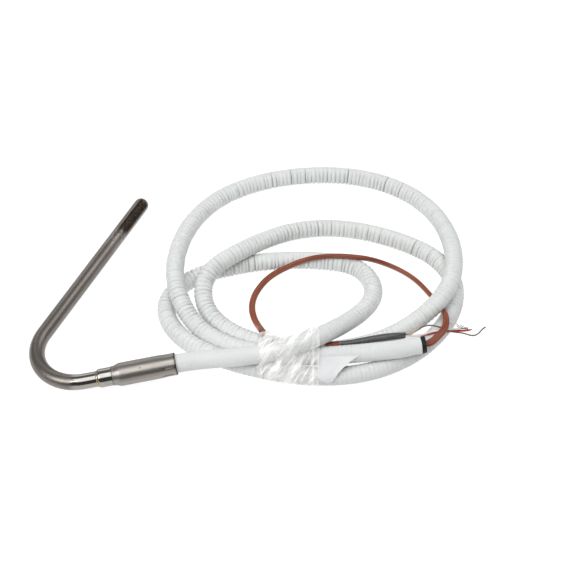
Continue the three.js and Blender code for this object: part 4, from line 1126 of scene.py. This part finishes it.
bushing = lathe_at(
    "bushing",
    densify(fillet([[2.1, -6], [2.65, -6], [2.65, -1.45], [5.10, -1.45], [5.18, -0.9], [5.14, 0.6], [4.90, 1.25], [3.5, 1.45], [2.5, 1.35], [2.1, 1.1]], 0.18, 3), 0.5),
    END,
    OUT,
    around=84,
    shape=bushing_shape,
)
dress(bushing, "black", "black_plastic", "end_bushing")

# ---------------------------------------------------------- shrink sleeve
shrink_line = Line(SHRINK_ROUTE)


def make_shrink():
    """Dark sleeve shrunk over the cable's end: round at one end, drawn into two lobes over the wires."""
    L = shrink_line.length
    s = np.linspace(0, L, 72)
    around = 40
    a = np.arange(around) * 2 * math.pi / around
    up = np.unwrap(facing_angle(shrink_line, s, (0, -0.643, 0.766)))
    end = smoothstep(s, L - 9, L)
    start = smoothstep(s, 0, 3.5)
    belly = np.interp(s / L, [0, 0.18, 0.45, 0.68, 0.88, 1], [0, 0.18, 0.75, 1, 0.55, 0.1])
    w = 1.62 + 0.12 * start + 0.52 * belly
    h = 1.60 + 0.10 * start + 0.38 * belly - 0.10 * end
    ct, st = np.cos(up + math.pi / 2)[:, None], np.sin(up + math.pi / 2)[:, None]
    x, y = np.cos(a)[None] * w[:, None], np.sin(a)[None] * h[:, None]
    y = y * (1 - 0.34 * end[:, None] * np.exp(-((np.cos(a)[None] / 0.36) ** 2)))
    lumps = 0.055 * value_noise(np.broadcast_to((s / 3.4)[:, None], x.shape), np.broadcast_to(a[None] * 0.9, x.shape), 31)
    lines = 0.03 * value_noise(np.broadcast_to((s / 14.0)[:, None], x.shape), np.broadcast_to(a[None] * 2.8, x.shape), 32)
    k = 1 + (lumps + lines) / 1.8
    outer = np.stack([(x * ct - y * st) * k, (x * st + y * ct) * k], -1)
    inner = outer * 0.80
    p, t, side, upv = shrink_line.at(s)
    lip = 0.35 * value_noise(a * 1.3, a * 0 + 0.5, 33)
    shift = np.zeros((len(s), around))
    shift[-1], shift[0] = lip, -0.6 * lip
    shift[-2], shift[1] = 0.6 * lip, -0.3 * lip

    def place(sec, sh):
        return p[:, None] + sec[..., :1] * side[:, None] + sec[..., 1:] * upv[:, None] + sh[..., None] * t[:, None]

    no = len(s) * around
    first, last = np.arange(around), np.arange(around) + (len(s) - 1) * around
    quads = np.concatenate([ring_quads(len(s), around), ring_quads(len(s), around, no)[:, ::-1], bridge(first + no, first), bridge(last, last + no)])
    sf = np.broadcast_to(s[:, None, None], (*x.shape, 1))
    flat = np.concatenate([np.concatenate([sf, outer], -1).reshape(-1, 3), np.concatenate([sf, inner], -1).reshape(-1, 3)])
    return build("shrink_sleeve", np.concatenate([place(outer, shift).reshape(-1, 3), place(inner, shift).reshape(-1, 3)]), quads, flat=flat, sharp=50)


shrink = dress(make_shrink(), "shrink", "shrink", "heat_shrink")

# ------------------------------------------------------------------- wires


def make_wire(name, route, radius, around=14, step=0.8, s1=None, s0=0.0, wob=0.02, taper=0.0):
    line = Line(route)
    s1 = line.length if s1 is None else s1
    s = np.append(np.arange(s0, s1 - 0.3 * step, step), s1)
    a = np.arange(around) * 2 * math.pi / around
    r = radius * (1 + wob * value_noise(s / 3.0, s * 0 + radius * 10, 41))
    r = r * (1 - taper * smoothstep(s, s1 - 1.2, s1))
    sec = np.stack([np.cos(a)[None] * r[:, None], np.sin(a)[None] * r[:, None]], -1)
    return swept(name, line, s, sec), line.at(s)[0], line


def strands(name, lines_points, radius, around=7, step=0.5):
    """Several fine strands as one piece."""
    all_pts, all_flat, all_q, all_t, base = [], [], [], [], 0
    for pts in lines_points:
        line = Line(pts)
        s = np.linspace(0, line.length, max(4, int(line.length / step)))
        p, t, side, up = line.at(s)
        a = np.arange(around) * 2 * math.pi / around
        sec = circle(radius, around)
        ring = p[:, None] + sec[None, :, :1] * side[:, None] + sec[None, :, 1:] * up[:, None]
        n = ring.shape[0] * around
        pts3 = np.concatenate([ring.reshape(-1, 3), [p[0], p[-1]]])
        flat = np.concatenate([np.concatenate([np.broadcast_to(s[:, None, None], (len(s), around, 1)), np.broadcast_to(sec[None], (len(s), around, 2))], -1).reshape(-1, 3), [[0, 0, 0], [s[-1], 0, 0]]])
        all_q.append(ring_quads(len(s), around, base))
        all_t.append(np.concatenate([fan(np.arange(around) + base, base + n, True), fan(np.arange(around) + (len(s) - 1) * around + base, base + n + 1)]))
        all_pts.append(pts3)
        all_flat.append(flat)
        base += n + 2
    return build(name, np.concatenate(all_pts), np.concatenate(all_q), np.concatenate(all_t), flat=np.concatenate(all_flat))


def twisted(route, s0, s1, turns, radius, count, phase=0.0, spread=0.0, seed=0):
    """count strands laid up round a route, opening out by spread at their far end."""
    line = Line(route)
    s = np.linspace(s0, s1, max(6, int((s1 - s0) / 0.8)))
    p, t, side, up = line.at(s)
    rng = np.random.default_rng(seed)
    out = []
    for k in range(count):
        w = smoothstep(s, s1 - 4.0, s1)
        a = phase + 2 * math.pi * k / count + turns * 2 * math.pi * (s - s0) / max(s1 - s0, 1e-6)
        r = radius + spread * w * (0.5 + rng.random())
        out.append(p + side * (np.cos(a) * r)[:, None] + up * (np.sin(a) * r)[:, None])
    return out


red_line, white_line, drain_line = Line(RED_ROUTE), Line(WHITE_ROUTE), Line(DRAIN_ROUTE)
red_strip, white_strip = red_line.length - 0.9, white_line.length - 5.0
wire_red, red_path, _ = make_wire("wire_red_skin", RED_ROUTE, 0.68, s1=red_strip, taper=0.35)
dress(wire_red, "red", "red_insulation", "wire_red")
wire_white, white_path, _ = make_wire("wire_white_skin", WHITE_ROUTE, 0.60, s1=white_strip)
dress(wire_white, "white", "white_insulation", "wire_white")
red_core = strands("wire_red_strands", twisted(RED_ROUTE, red_strip - 2.0, red_line.length, 1.0, 0.20, 5, 0.3, 0.06, 1), 0.13)
dress(red_core, "drain", "copper")
white_core = strands("wire_white_strands", twisted(WHITE_ROUTE, white_strip - 2.0, white_line.length, 1.0, 0.18, 5, 0.9, 0.30, 2), 0.12)
dress(white_core, "drain", "copper")
drain = strands("wire_drain_strands", twisted(DRAIN_ROUTE, 0.0, drain_line.length, 7.0, 0.25, 5, 0.0, 0.05, 3), 0.175, step=0.6)
dress(drain, "drain", "drain_metal", "wire_drain")
drain_path = drain_line.at(np.append(np.arange(0, drain_line.length - 0.3, 0.8), drain_line.length))[0]
# loose strands that have sprung out of the white wire's end
whiskers = strands(
    "wire_white_whiskers",
    [
        [[219.6, -33.6, 8.45], [217.8, -33.1, 8.9], [216.3, -32.2, 9.4], [214.4, -30.7, 9.7]],
        [[221.0, -33.5, 8.35], [219.6, -32.9, 8.9], [218.4, -32.5, 9.2], [217.0, -31.6, 9.7]],
        [[218.4, -33.9, 8.6], [217.0, -33.5, 8.9], [215.9, -33.0, 9.1], [214.9, -32.0, 9.3]],
    ],
    0.19,
)
dress(whiskers, "drain", "copper")
# pale threads that come out of the sleeve with the drain wire
loose = strands("drain_threads", [p + np.array(o) * (np.linspace(0.2, 1, len(p)) * np.linspace(1, 0.3, len(p)))[:, None] for p, o in
    zip(twisted(DRAIN_ROUTE, 9.0, 20.5, 0.6, 0.34, 3, 0.4, 0.15, 6), [(0, 0.7, 0.5), (0, -0.5, -0.2), (0, 0.2, 0.9)])], 0.24, step=0.6)
dress(loose, "loose", "drain_metal")

# -------------------------------------------------------------- rigid probe
R = 4.75
R_IN = R - 1.3


def make_sheath():
    stations = [s for s in np.arange(2.5, LEG_LENGTH - 1.0, 4.0)] + list(LEG_LENGTH + np.linspace(0, BEND_RADIUS * BEND_TURN, 54)) + [ARM + 2.0, ARM + 4.0]
    prof = [[R * math.sin(a), -R * math.cos(a)] for a in np.linspace(0.02, math.pi / 2, 16)]
    prof[0][0] = 0.0
    prof += [[R, s] for s in stations]
    prof += [[R, ARM + 6.75], [R, ARM + 6.94], [R - 0.06, ARM + 7.0], [4.30, ARM + 7.03], [4.1, ARM + 7.15], [4.1, ARM + 12.45], [3.95, ARM + 12.6]]
    prof += [[R_IN, ARM + 12.6]] + [[R_IN, s] for s in reversed(stations)]
    prof += [[R_IN * math.sin(a), -R_IN * math.cos(a)] for a in np.linspace(math.pi / 2, 0.0, 10)]
    prof = np.array(prof)
    around = 72

    def shape(r, s, a):
        outer = (np.arange(len(prof)) < len(prof) // 2 + 4)[:, None] & (r > 4.4)
        # the bend is a little flattened across its plane, with the wall's faint waves on its inside
        in_bend = smoothstep(s, LEG_LENGTH - 4, LEG_LENGTH + 14) * (1 - smoothstep(s, ARM - 16, ARM + 2))
        flat = 1 + in_bend * (0.012 * np.cos(a) ** 2 * -1 + 0.008)
        waves = in_bend * 0.035 * np.maximum(np.cos(a), 0) ** 2 * np.sin((s - LEG_LENGTH) * 1.15)
        long = 0.012 * value_noise(s / 17.0, a * 1.3, 51)
        return np.where(outer, r * flat + waves + long, r), s

    # the tip's pole is one point of each wall, so the rings next to it are closed with fans
    a = np.arange(around) * 2 * math.pi / around
    body = prof[1:-1]
    r, s = np.broadcast_to(body[:, None, 0], (len(body), around)).copy(), np.broadcast_to(body[:, None, 1], (len(body), around)).copy()
    prof = body
    ang = np.broadcast_to(a[None], r.shape)
    r, s = shape(r, s, ang)
    p, _, normal = probe_frame(s)
    pts = (p + normal * (r * np.cos(ang))[..., None] + ACROSS * (r * np.sin(ang))[..., None]).reshape(-1, 3)
    flat = np.stack([s, r * np.cos(ang), r * np.sin(ang)], -1).reshape(-1, 3)
    n = len(body)
    poles = LEG_TIP - along * np.array([[R], [R_IN]])
    pts = np.concatenate([pts, poles])
    flat = np.concatenate([flat, [[-R, 0, 0], [-R_IN, 0, 0]]])
    tris = np.concatenate([fan(np.arange(around), n * around, True), fan(np.arange(around) + (n - 1) * around, n * around + 1)])
    return build("sheath", pts, ring_quads(n, around), tris, flat=flat, sharp=30)


sheath = dress(make_sheath(), "sheath", "sheath_steel", "sheath_tube")


def braze_shape(r, s, a):
    k = 0.10 * value_noise(a * 2.4, a * 0 + 0.3, 61)
    return np.where(r > 4.6, r + k, r), s + 0.10 * value_noise(a * 1.9, a * 0 + 5.3, 62)


ring = turned("braze", fillet([[4.15, ARM + 7.05], [4.74, ARM + 7.05], [4.92, ARM + 7.28], [5.02, ARM + 7.55], [5.12, ARM + 7.85], [5.0, ARM + 7.98], [4.15, ARM + 8.0]], 0.10, 3), 96, braze_shape)
dress(ring, "braze", "braze", "braze_ring")

collar = turned(
    "collar",
    densify(
        fillet(
            [
                [4.45, ARM + 8.02], [5.16, ARM + 8.02], [5.52, ARM + 8.40], [5.78, ARM + 9.30], [5.72, ARM + 12.0], [5.80, ARM + 16.4], [4.5, ARM + 16.45],
                [4.5, ARM + 20.5], [3.45, ARM + 20.5], [3.45, ARM + 13.0], [4.45, ARM + 13.0],
            ],
            0.22, 4,
        ),
        1.5,
    ),
    96,
)
dress(collar, "collar", "polished_steel", "transition_collar")

DENT_S, DENT_A = ARM + 33.8, arc_angle((0, -0.375, 0.927), ARM + 33)
CRIMPS = [(ARM + 50.2, arc_angle((0, -0.78, 0.62), ARM + 50), 5.2, 0.36), (ARM + 49.4, arc_angle((0, -0.985, -0.17), ARM + 50), 6.0, 0.32), (ARM + 47.5, arc_angle((0, 0.55, 0.83), ARM + 50), 8.0, 0.14), (ARM + 47.5, arc_angle((0, 0.5, -0.85), ARM + 50), 8.0, 0.16)]


def ferrule_shape(r, s, a):
    def off(angle):
        return (a - angle + math.pi) % (2 * math.pi) - math.pi

    outer = r > 5.80
    dent = 0.30 * np.exp(-(((s - DENT_S) / 0.75) ** 2 + (off(DENT_A) * 6.6 / 0.60) ** 2))
    deep = dent
    for at, angle, long, depth in CRIMPS:
        along_ = smoothstep(s, at - long * 0.5 - 1.0, at - long * 0.5 + 1.0) * (1 - smoothstep(s, at + long * 0.5 - 0.3, at + long * 0.5 + 0.3))
        deep = deep + depth * along_ * np.exp(-((off(angle) * 6.6 / 0.42) ** 2))
    swell = 0.018 * value_noise(s / 7.0, a * 1.2, 71)
    mouth = -0.05 * smoothstep(s, ARM + 52.5, ARM + 54.5)  # the mouth is rolled in a little over the conduit
    return np.where(outer, r - deep + swell + mouth, r), s


def ferrule_profile():
    outer = fillet(
        [[4.86, ARM + 16.5], [5.88, ARM + 16.5], [5.96, ARM + 18.1], [6.30, ARM + 19.1], [6.72, ARM + 20.2], [6.96, ARM + 21.2], [7.0, ARM + 22.4], [7.0, ARM + 41.0], [6.93, ARM + 45.5], [6.68, ARM + 49.5], [6.72, ARM + 52.5], [6.80, ARM + 54.9], [5.74, ARM + 54.9], [5.74, ARM + 23.0], [4.86, ARM + 23.0]], 0.40, 5
    )
    return densify(outer, 0.7)


def ferrule_recess_shade(profile, around):
    """Painted shade in the crimp slots, in the dent and along the mouth's rim."""
    prof = np.array(profile, float)
    a = (np.arange(around) * 2 * math.pi / around)[None]
    s = prof[:, 1:2]

    def off(angle):
        return (a - angle + math.pi) % (2 * math.pi) - math.pi

    recess_shade = 0.55 * np.exp(-(((s - DENT_S) / 0.8) ** 2 + (off(DENT_A) * 6.6 / 0.65) ** 2))
    for (at, angle, long, _), shade_strength in zip(CRIMPS, (0.95, 0.8, 0.3, 0.3)):
        along_ = smoothstep(s, at - long * 0.5 - 1.6, at - long * 0.5 + 0.8) * (1 - smoothstep(s, at + long * 0.5 - 0.2, at + long * 0.5 + 0.5))
        recess_shade = recess_shade + shade_strength * along_ * np.exp(-((off(angle) * 6.6 / 0.50) ** 2))
    recess_shade = np.maximum(recess_shade, 0.9 * smoothstep(s, ARM + 54.15, ARM + 54.6))
    return (np.clip(recess_shade, 0, 1) * (prof[:, :1] > 5.8)).ravel()


# the ferrule carries painted shade in its crimp slots, its dent and along its mouth
ferrule = turned("ferrule_body", ferrule_profile(), 160, ferrule_shape, sharp=40, extra={"crease_shade": ferrule_recess_shade(ferrule_profile(), 160)})
dress(ferrule, "ferrule", "ferrule_steel", "ferrule")

# ------------------------------------------------------------------- film


def film_surface(nx, nk):
    """The film's outer surface as a grid, with its stations along the bundle."""
    rings = np.array(FILM_RINGS, float)
    count = rings.shape[1]
    x0 = np.array(FILM_X, float)
    closed = np.concatenate([rings[:, -6:], rings, rings[:, :6]], 1)
    k = np.arange(-6, count + 6, dtype=float)
    at = np.linspace(0, count, nk, endpoint=False)
    fine = np.stack([natural_spline(k, closed[i])(at) for i in range(len(x0))])
    ax = natural_spline(x0, fine.reshape(len(x0), -1))
    xs = np.linspace(x0[0], x0[-1], nx)
    yz = ax(xs).reshape(nx, nk, 2)
    return xs, yz


def make_film():
    nx, nk = 132, 420
    xs, yz = film_surface(nx, nk)
    step = np.linalg.norm(np.roll(yz, -1, 1) - yz, axis=-1)
    around = np.concatenate([np.zeros((nx, 1)), np.cumsum(step, 1)[:, :-1]], 1)
    total = step.sum(1, keepdims=True)
    tangent = unit(np.roll(yz, -1, 1) - np.roll(yz, 1, 1))
    normal = np.stack([-tangent[..., 1], tangent[..., 0]], -1)
    centre = yz.mean(1, keepdims=True)
    sign = np.sign(((yz - centre) * normal).sum(-1).mean())
    normal = normal * sign
    x = np.broadcast_to(xs[:, None], around.shape)
    # pleats run up and to the right over the front: across them is the direction q
    p = around
    lean = math.radians(58)
    q = x * math.sin(lean) + p * math.cos(lean)
    r = x * math.cos(lean) - p * math.sin(lean)

    def seam(f):  # the same at both ends of the loop
        w = smoothstep(p / total, 0.93, 1.0)
        return f(q, r) * (1 - w) + f(q - total * math.cos(lean), r + total * math.sin(lean)) * w

    broad = seam(lambda u, v: value_noise(u / 5.0, v / 15.0, 81))
    pleat_and_highlight = seam(lambda u, v: value_noise(u / 3.6, v / 11.0, 82))
    hair = seam(lambda u, v: value_noise(u / 1.9, v / 7.0, 83))
    crisp = 1 - np.abs(pleat_and_highlight) * 2
    lumps = seam(lambda u, v: value_noise(u / 7.5, v / 9.0, 84))
    edge = smoothstep(x, xs[0], xs[0] + 2.5) * (1 - smoothstep(x, xs[-1] - 2.0, xs[-1]))
    bands = value_noise(x / 0.9 + 0.12 * value_noise(p / 6.0, x * 0, 85), p / 40.0, 86) * smoothstep(x, xs[-1] - 6.5, xs[-1] - 2)
    lift = (0.24 * broad + 0.22 * crisp + 0.05 * hair + 0.14 * lumps) * (0.35 + 0.65 * edge) + 0.16 * bands - 0.25
    lift = np.clip(lift + 0.28, -0.42, 0.42)
    over = smoothstep(x, xs[-1] - 3.0, xs[-1])
    lift = lift + 0.30 * over
    outer = yz + normal * lift[..., None]
    inner = outer - normal * 0.10
    ragged = np.zeros((nx, nk))
    edge_l = 0.9 * value_noise(p / 5.0, p * 0 + 2.2, 87) + 0.35 * value_noise(p / 1.4, p * 0 + 7.2, 88)
    edge_r = 0.5 * value_noise(p / 6.5, p * 0 + 9.2, 89) + 0.15 * value_noise(p / 1.1, p * 0 + 4.2, 90)
    ragged += edge_l * (1 - smoothstep(x, xs[0], xs[0] + 5)) + edge_r * smoothstep(x, xs[-1] - 5, xs[-1])
    X = x + ragged + 1.5 * over
    pts_o = np.concatenate([X[..., None], outer], -1)
    pts_i = np.concatenate([X[..., None], inner], -1)
    pts_o[..., 2] = np.maximum(pts_o[..., 2], 0.16)
    pts_i[..., 2] = np.maximum(pts_i[..., 2], 0.26)
    # how milky each point is: partly the film's milkiness in its pleats and at its edges, partly painted highlight
    fold_and_highlight = np.clip(0.42 + 0.55 * crisp + 0.50 * broad + 0.12 * hair, 0, 1) ** 1.8
    fold_and_highlight = np.maximum(fold_and_highlight * edge, 0.85 * np.clip(bands * 1.6, 0, 1))
    rim = np.maximum(0.25 * (1 - smoothstep(x, xs[0], xs[0] + 0.7)), smoothstep(x, xs[-1] - 0.6, xs[-1]))
    fold_and_highlight = np.clip(np.maximum(fold_and_highlight, 0.7 * rim), 0, 1)
    n = nx * nk
    first, last = np.arange(nk), np.arange(nk) + (nx - 1) * nk
    quads = np.concatenate([ring_quads(nx, nk), ring_quads(nx, nk, n)[:, ::-1], bridge(first + n, first), bridge(last, last + n)])
    flat = np.stack([q, r, np.zeros_like(q)], -1).reshape(-1, 3)[:, [1, 0, 2]]
    o = build(
        "film_wound",
        np.concatenate([pts_o.reshape(-1, 3), pts_i.reshape(-1, 3)]),
        quads,
        flat=np.concatenate([flat, flat]),
        extra={"pleat_and_highlight": np.concatenate([fold_and_highlight.ravel(), fold_and_highlight.ravel()])},
        sharp=0,
    )
    return o, float(total.mean())


film, film_round = make_film()
dress(film, "film", "film", "film_wrap")


def thin_sheet(name, grid, thickness, material, slot, *replaced, uv=None, pleat_and_highlight=None):
    """A thin closed sheet from a grid of points."""
    g = np.asarray(grid, float)
    r, c = g.shape[:2]
    du, dv = np.gradient(g, axis=1), np.gradient(g, axis=0)
    n = unit(np.cross(du, dv))
    top, bottom = g + n * thickness / 2, g - n * thickness / 2
    i, j = np.arange(r - 1)[:, None], np.arange(c - 1)[None]
    a = i * c + j
    face = np.stack([a, a + 1, a + c + 1, a + c], -1).reshape(-1, 4)
    m = r * c
    rim = np.concatenate([np.arange(c), np.arange(1, r) * c + c - 1, (r - 1) * c + np.arange(c - 2, -1, -1), np.arange(r - 2, 0, -1) * c])
    quads = np.concatenate([face, face[:, ::-1] + m, bridge(rim + m, rim)])
    if uv is None:
        uv = np.stack([np.broadcast_to(np.arange(c)[None] * 1.0, (r, c)), np.broadcast_to(np.arange(r)[:, None] * 1.0, (r, c)), np.zeros((r, c))], -1)
    # one even milkiness over the whole sheet, partly painted highlight and white glow
    extra = None if pleat_and_highlight is None else {"pleat_and_highlight": np.full(2 * m, float(pleat_and_highlight))}
    o = build(name, np.concatenate([top.reshape(-1, 3), bottom.reshape(-1, 3)]), quads, flat=np.concatenate([uv.reshape(-1, 3)] * 2), extra=extra, sharp=40)
    return dress(o, material, slot, *replaced)


def finer(grid, rows, columns):
    g = np.array(grid, float)
    r, c = g.shape[:2]
    g = natural_spline(np.arange(r, dtype=float), g.reshape(r, -1))(np.linspace(0, r - 1, rows)).reshape(rows, c, 3)
    g = np.swapaxes(g, 0, 1)
    g = natural_spline(np.arange(c, dtype=float), g.reshape(c, -1))(np.linspace(0, c - 1, columns)).reshape(columns, rows, 3)
    return np.swapaxes(g, 0, 1)


label_grid = finer(LABEL_GRID, 30, 40)
across_u, down_v = np.linspace(0, 1, 40)[None], np.linspace(0, 1, 30)[:, None]
label_grid[..., 0] -= 1.5 * across_u**2 * np.sin(math.pi * down_v) + 1.0 * across_u**2 * down_v
curl = 1.0 * smoothstep(across_u, 0.62, 1.0) ** 1.5 * (0.35 + 0.65 * np.sin(math.pi * np.clip(down_v * 0.9 + 0.1, 0, 1)))
label_grid += (curl + 0.42)[..., None] * np.array([0, -0.55, 0.83])
label_grid[..., 2] -= 0.9 * smoothstep(down_v, 0.85, 1.0) * np.sin(math.pi * across_u)
label_grid[..., 1] -= 0.5 * smoothstep(down_v, 0.85, 1.0) * np.sin(math.pi * across_u)
u = np.cumsum(np.linalg.norm(np.diff(label_grid, axis=1, prepend=label_grid[:, :1]), axis=-1), 1)
v = np.cumsum(np.linalg.norm(np.diff(label_grid, axis=0, prepend=label_grid[:1]), axis=-1), 0)
label = thin_sheet("label_paper_tag", label_grid, 0.16, "paper", "paper", "label", uv=np.stack([u, v, u * 0], -1))

# A scrap of the film's loose end stands up where the cable runs in under it.
tab_u = np.linspace(0, 1, 14)
tab = []
for w in np.linspace(0, 1, 10):
    a, b = np.array([97.4, -44.2, 14.6]), np.array([105.8, -46.2, 17.2])
    row = a + (b - a) * tab_u[:, None] + np.array([0.5, 3.6, 0.9]) * w * (0.55 + 0.45 * np.sin(tab_u * 2.4 + 0.6))[:, None]
    row[:, 2] += 0.8 * math.sin(w * 2.6) + 0.22 * value_noise(tab_u * 2.6, tab_u * 0 + w * 2, 95)
    tab.append(row)
tab = np.array(tab)
film_tab = thin_sheet("film_loose_end", finer(tab, 18, 26), 0.10, "film", "film", pleat_and_highlight=0.8)
# Where the cable's end runs out, the last turn of film wraps it.
wrap_s = np.linspace(tail.length - 30, tail.length - 4, 80)
wrap_p, _, wrap_side, wrap_up = tail.at(wrap_s)
keep = (wrap_p[:, 0] > 126.2) & (wrap_p[:, 0] < 133.4)
wrap_a = facing_angle(tail, wrap_s, (0, -0.5, 0.86))[:, None] + np.linspace(-1.75, 1.75, 26)[None]
wrap_r = 2.42 + 0.22 * value_noise(np.broadcast_to((wrap_s / 2.4)[:, None], wrap_a.shape), wrap_a * 1.5, 97) + 0.5 * (np.linspace(-1, 1, 26)[None] ** 2)
wrap = wrap_p[:, None] + wrap_side[:, None] * (np.cos(wrap_a) * wrap_r)[..., None] + wrap_up[:, None] * (np.sin(wrap_a) * wrap_r)[..., None]
wrap = wrap[keep]
wrap[..., 0] += (0.5 * value_noise(np.linspace(0, 5, 26), np.zeros(26), 98))[None]
film_sleeve = thin_sheet("film_round_cable", wrap, 0.10, "film", "film", pleat_and_highlight=0.75)

in_s = np.linspace(tail.length - 90, tail.length - 20, 240)
in_p, _, in_side, in_up = tail.at(in_s)
keep = (in_p[:, 0] > 98.2) & (in_p[:, 0] < 109.5)
in_a = facing_angle(tail, in_s, (0, -0.5, 0.86))[:, None] + np.linspace(-1.9, 1.9, 26)[None]
in_r = 2.5 + 0.30 * value_noise(np.broadcast_to((in_s / 2.2)[:, None], in_a.shape), in_a * 1.4, 197) + 0.35 * (np.linspace(-1, 1, 26)[None] ** 2)
in_wrap = in_p[:, None] + in_side[:, None] * (np.cos(in_a) * in_r)[..., None] + in_up[:, None] * (np.sin(in_a) * in_r)[..., None]
in_wrap = in_wrap[keep]
in_wrap[..., 0] += (0.8 * value_noise(np.linspace(0, 4, 26), np.zeros(26), 198))[None]
film_entry = thin_sheet("film_round_entry", in_wrap, 0.10, "film", "film", pleat_and_highlight=1.0)

# ------------------------------------------------- pieces inside the probe
for key, names in {
    "ceramic": ["sensing_element"],
    "cement": ["tip_packing", "potting_plug"],
    "fibre": ["lead_sleeve"],
    "lead": ["element_lead_a", "element_lead_b", "element_lead_c"],
    "copper": ["conductor_a", "conductor_b", "conductor_c", "splice_a", "splice_b", "splice_c"],
    "black": ["anti_short_bush"],
}.items():
    for n in names:
        o = NODES[n]
        if not o.material_slots:
            o.data.materials.append(None)
        for sl in o.material_slots:
            sl.link = "OBJECT"
            sl.material = INNER[key]

# ----------------------------------------------------------- floor, lights
bpy.ops.mesh.primitive_plane_add(size=8, location=(0.1, 0, -0.0002))
floor = bpy.context.object
floor.name = "floor"
fm = Mat("floor_pale", Metallic=0.0, Roughness=0.9, Specular_IOR_Level=0.0)
paper_noise = fm.noise(fm.stretch(fm.node("TexCoord", 3), (3, 3, 3)), 1.0, 3, 0.5)
fm.set(Base_Color=fm.mix(fm.ramp(paper_noise, (0.3, 0.0), (0.7, 1.0)), (FLOOR_TONE,) * 3, (FLOOR_TONE + 0.02,) * 3), Emission_Color=(1, 1, 1), Emission_Strength=FLOOR_GLOW)
floor.data.materials.append(fm.m)

world = bpy.data.worlds.new("studio")
scene.world = world
world.use_nodes = True
nt = world.node_tree
nt.nodes.clear()
wo, bg = nt.nodes.new("ShaderNodeOutputWorld"), nt.nodes.new("ShaderNodeBackground")
tc, sep, rampn = nt.nodes.new("ShaderNodeTexCoord"), nt.nodes.new("ShaderNodeSeparateXYZ"), nt.nodes.new("ShaderNodeValToRGB")
nt.links.new(tc.outputs["Generated"], sep.inputs[0])
nt.links.new(sep.outputs[2], rampn.inputs[0])
rampn.color_ramp.interpolation = "EASE"
el = rampn.color_ramp.elements
while len(el) < len(SKY):
    el.new(0.5)
for k, (at, v_) in enumerate(SKY):
    el[k].position = at
    el[k].color = (v_, v_, v_ * 1.01, 1)
front, dim = nt.nodes.new("ShaderNodeMapRange"), nt.nodes.new("ShaderNodeVectorMath")
front.interpolation_type = "SMOOTHSTEP"
for socket, value in zip(front.inputs[1:5], (-0.75, -0.05, SKY_FRONT, 1.0)):
    socket.default_value = value
dim.operation = "SCALE"
nt.links.new(sep.outputs[1], front.inputs[0])
nt.links.new(rampn.outputs[0], dim.inputs[0])
nt.links.new(front.outputs[0], dim.inputs["Scale"])
nt.links.new(dim.outputs[0], bg.inputs[0])
bg.inputs[1].default_value = 1.0
nt.links.new(bg.outputs[0], wo.inputs[0])


def softbox(name, location, target, width, height, radiance, colour=(1, 1, 1)):
    """A flat lamp whose surface has the given brightness."""
    lamp = bpy.data.lights.new(name, "AREA")
    lamp.shape, lamp.size, lamp.size_y = "RECTANGLE", width, height
    lamp.energy = radiance * math.pi * width * height
    lamp.color = colour
    o = bpy.data.objects.new(name, lamp)
    scene.collection.objects.link(o)
    o.location = location
    o.rotation_euler = (Vector(target) - Vector(location)).to_track_quat("-Z", "Y").to_euler()
    return o


for args in LAMPS:
    softbox(*args)

scene.view_settings.view_transform = "Standard"
scene.view_settings.look = "None"
scene.view_settings.exposure = 0
scene.view_settings.gamma = 1
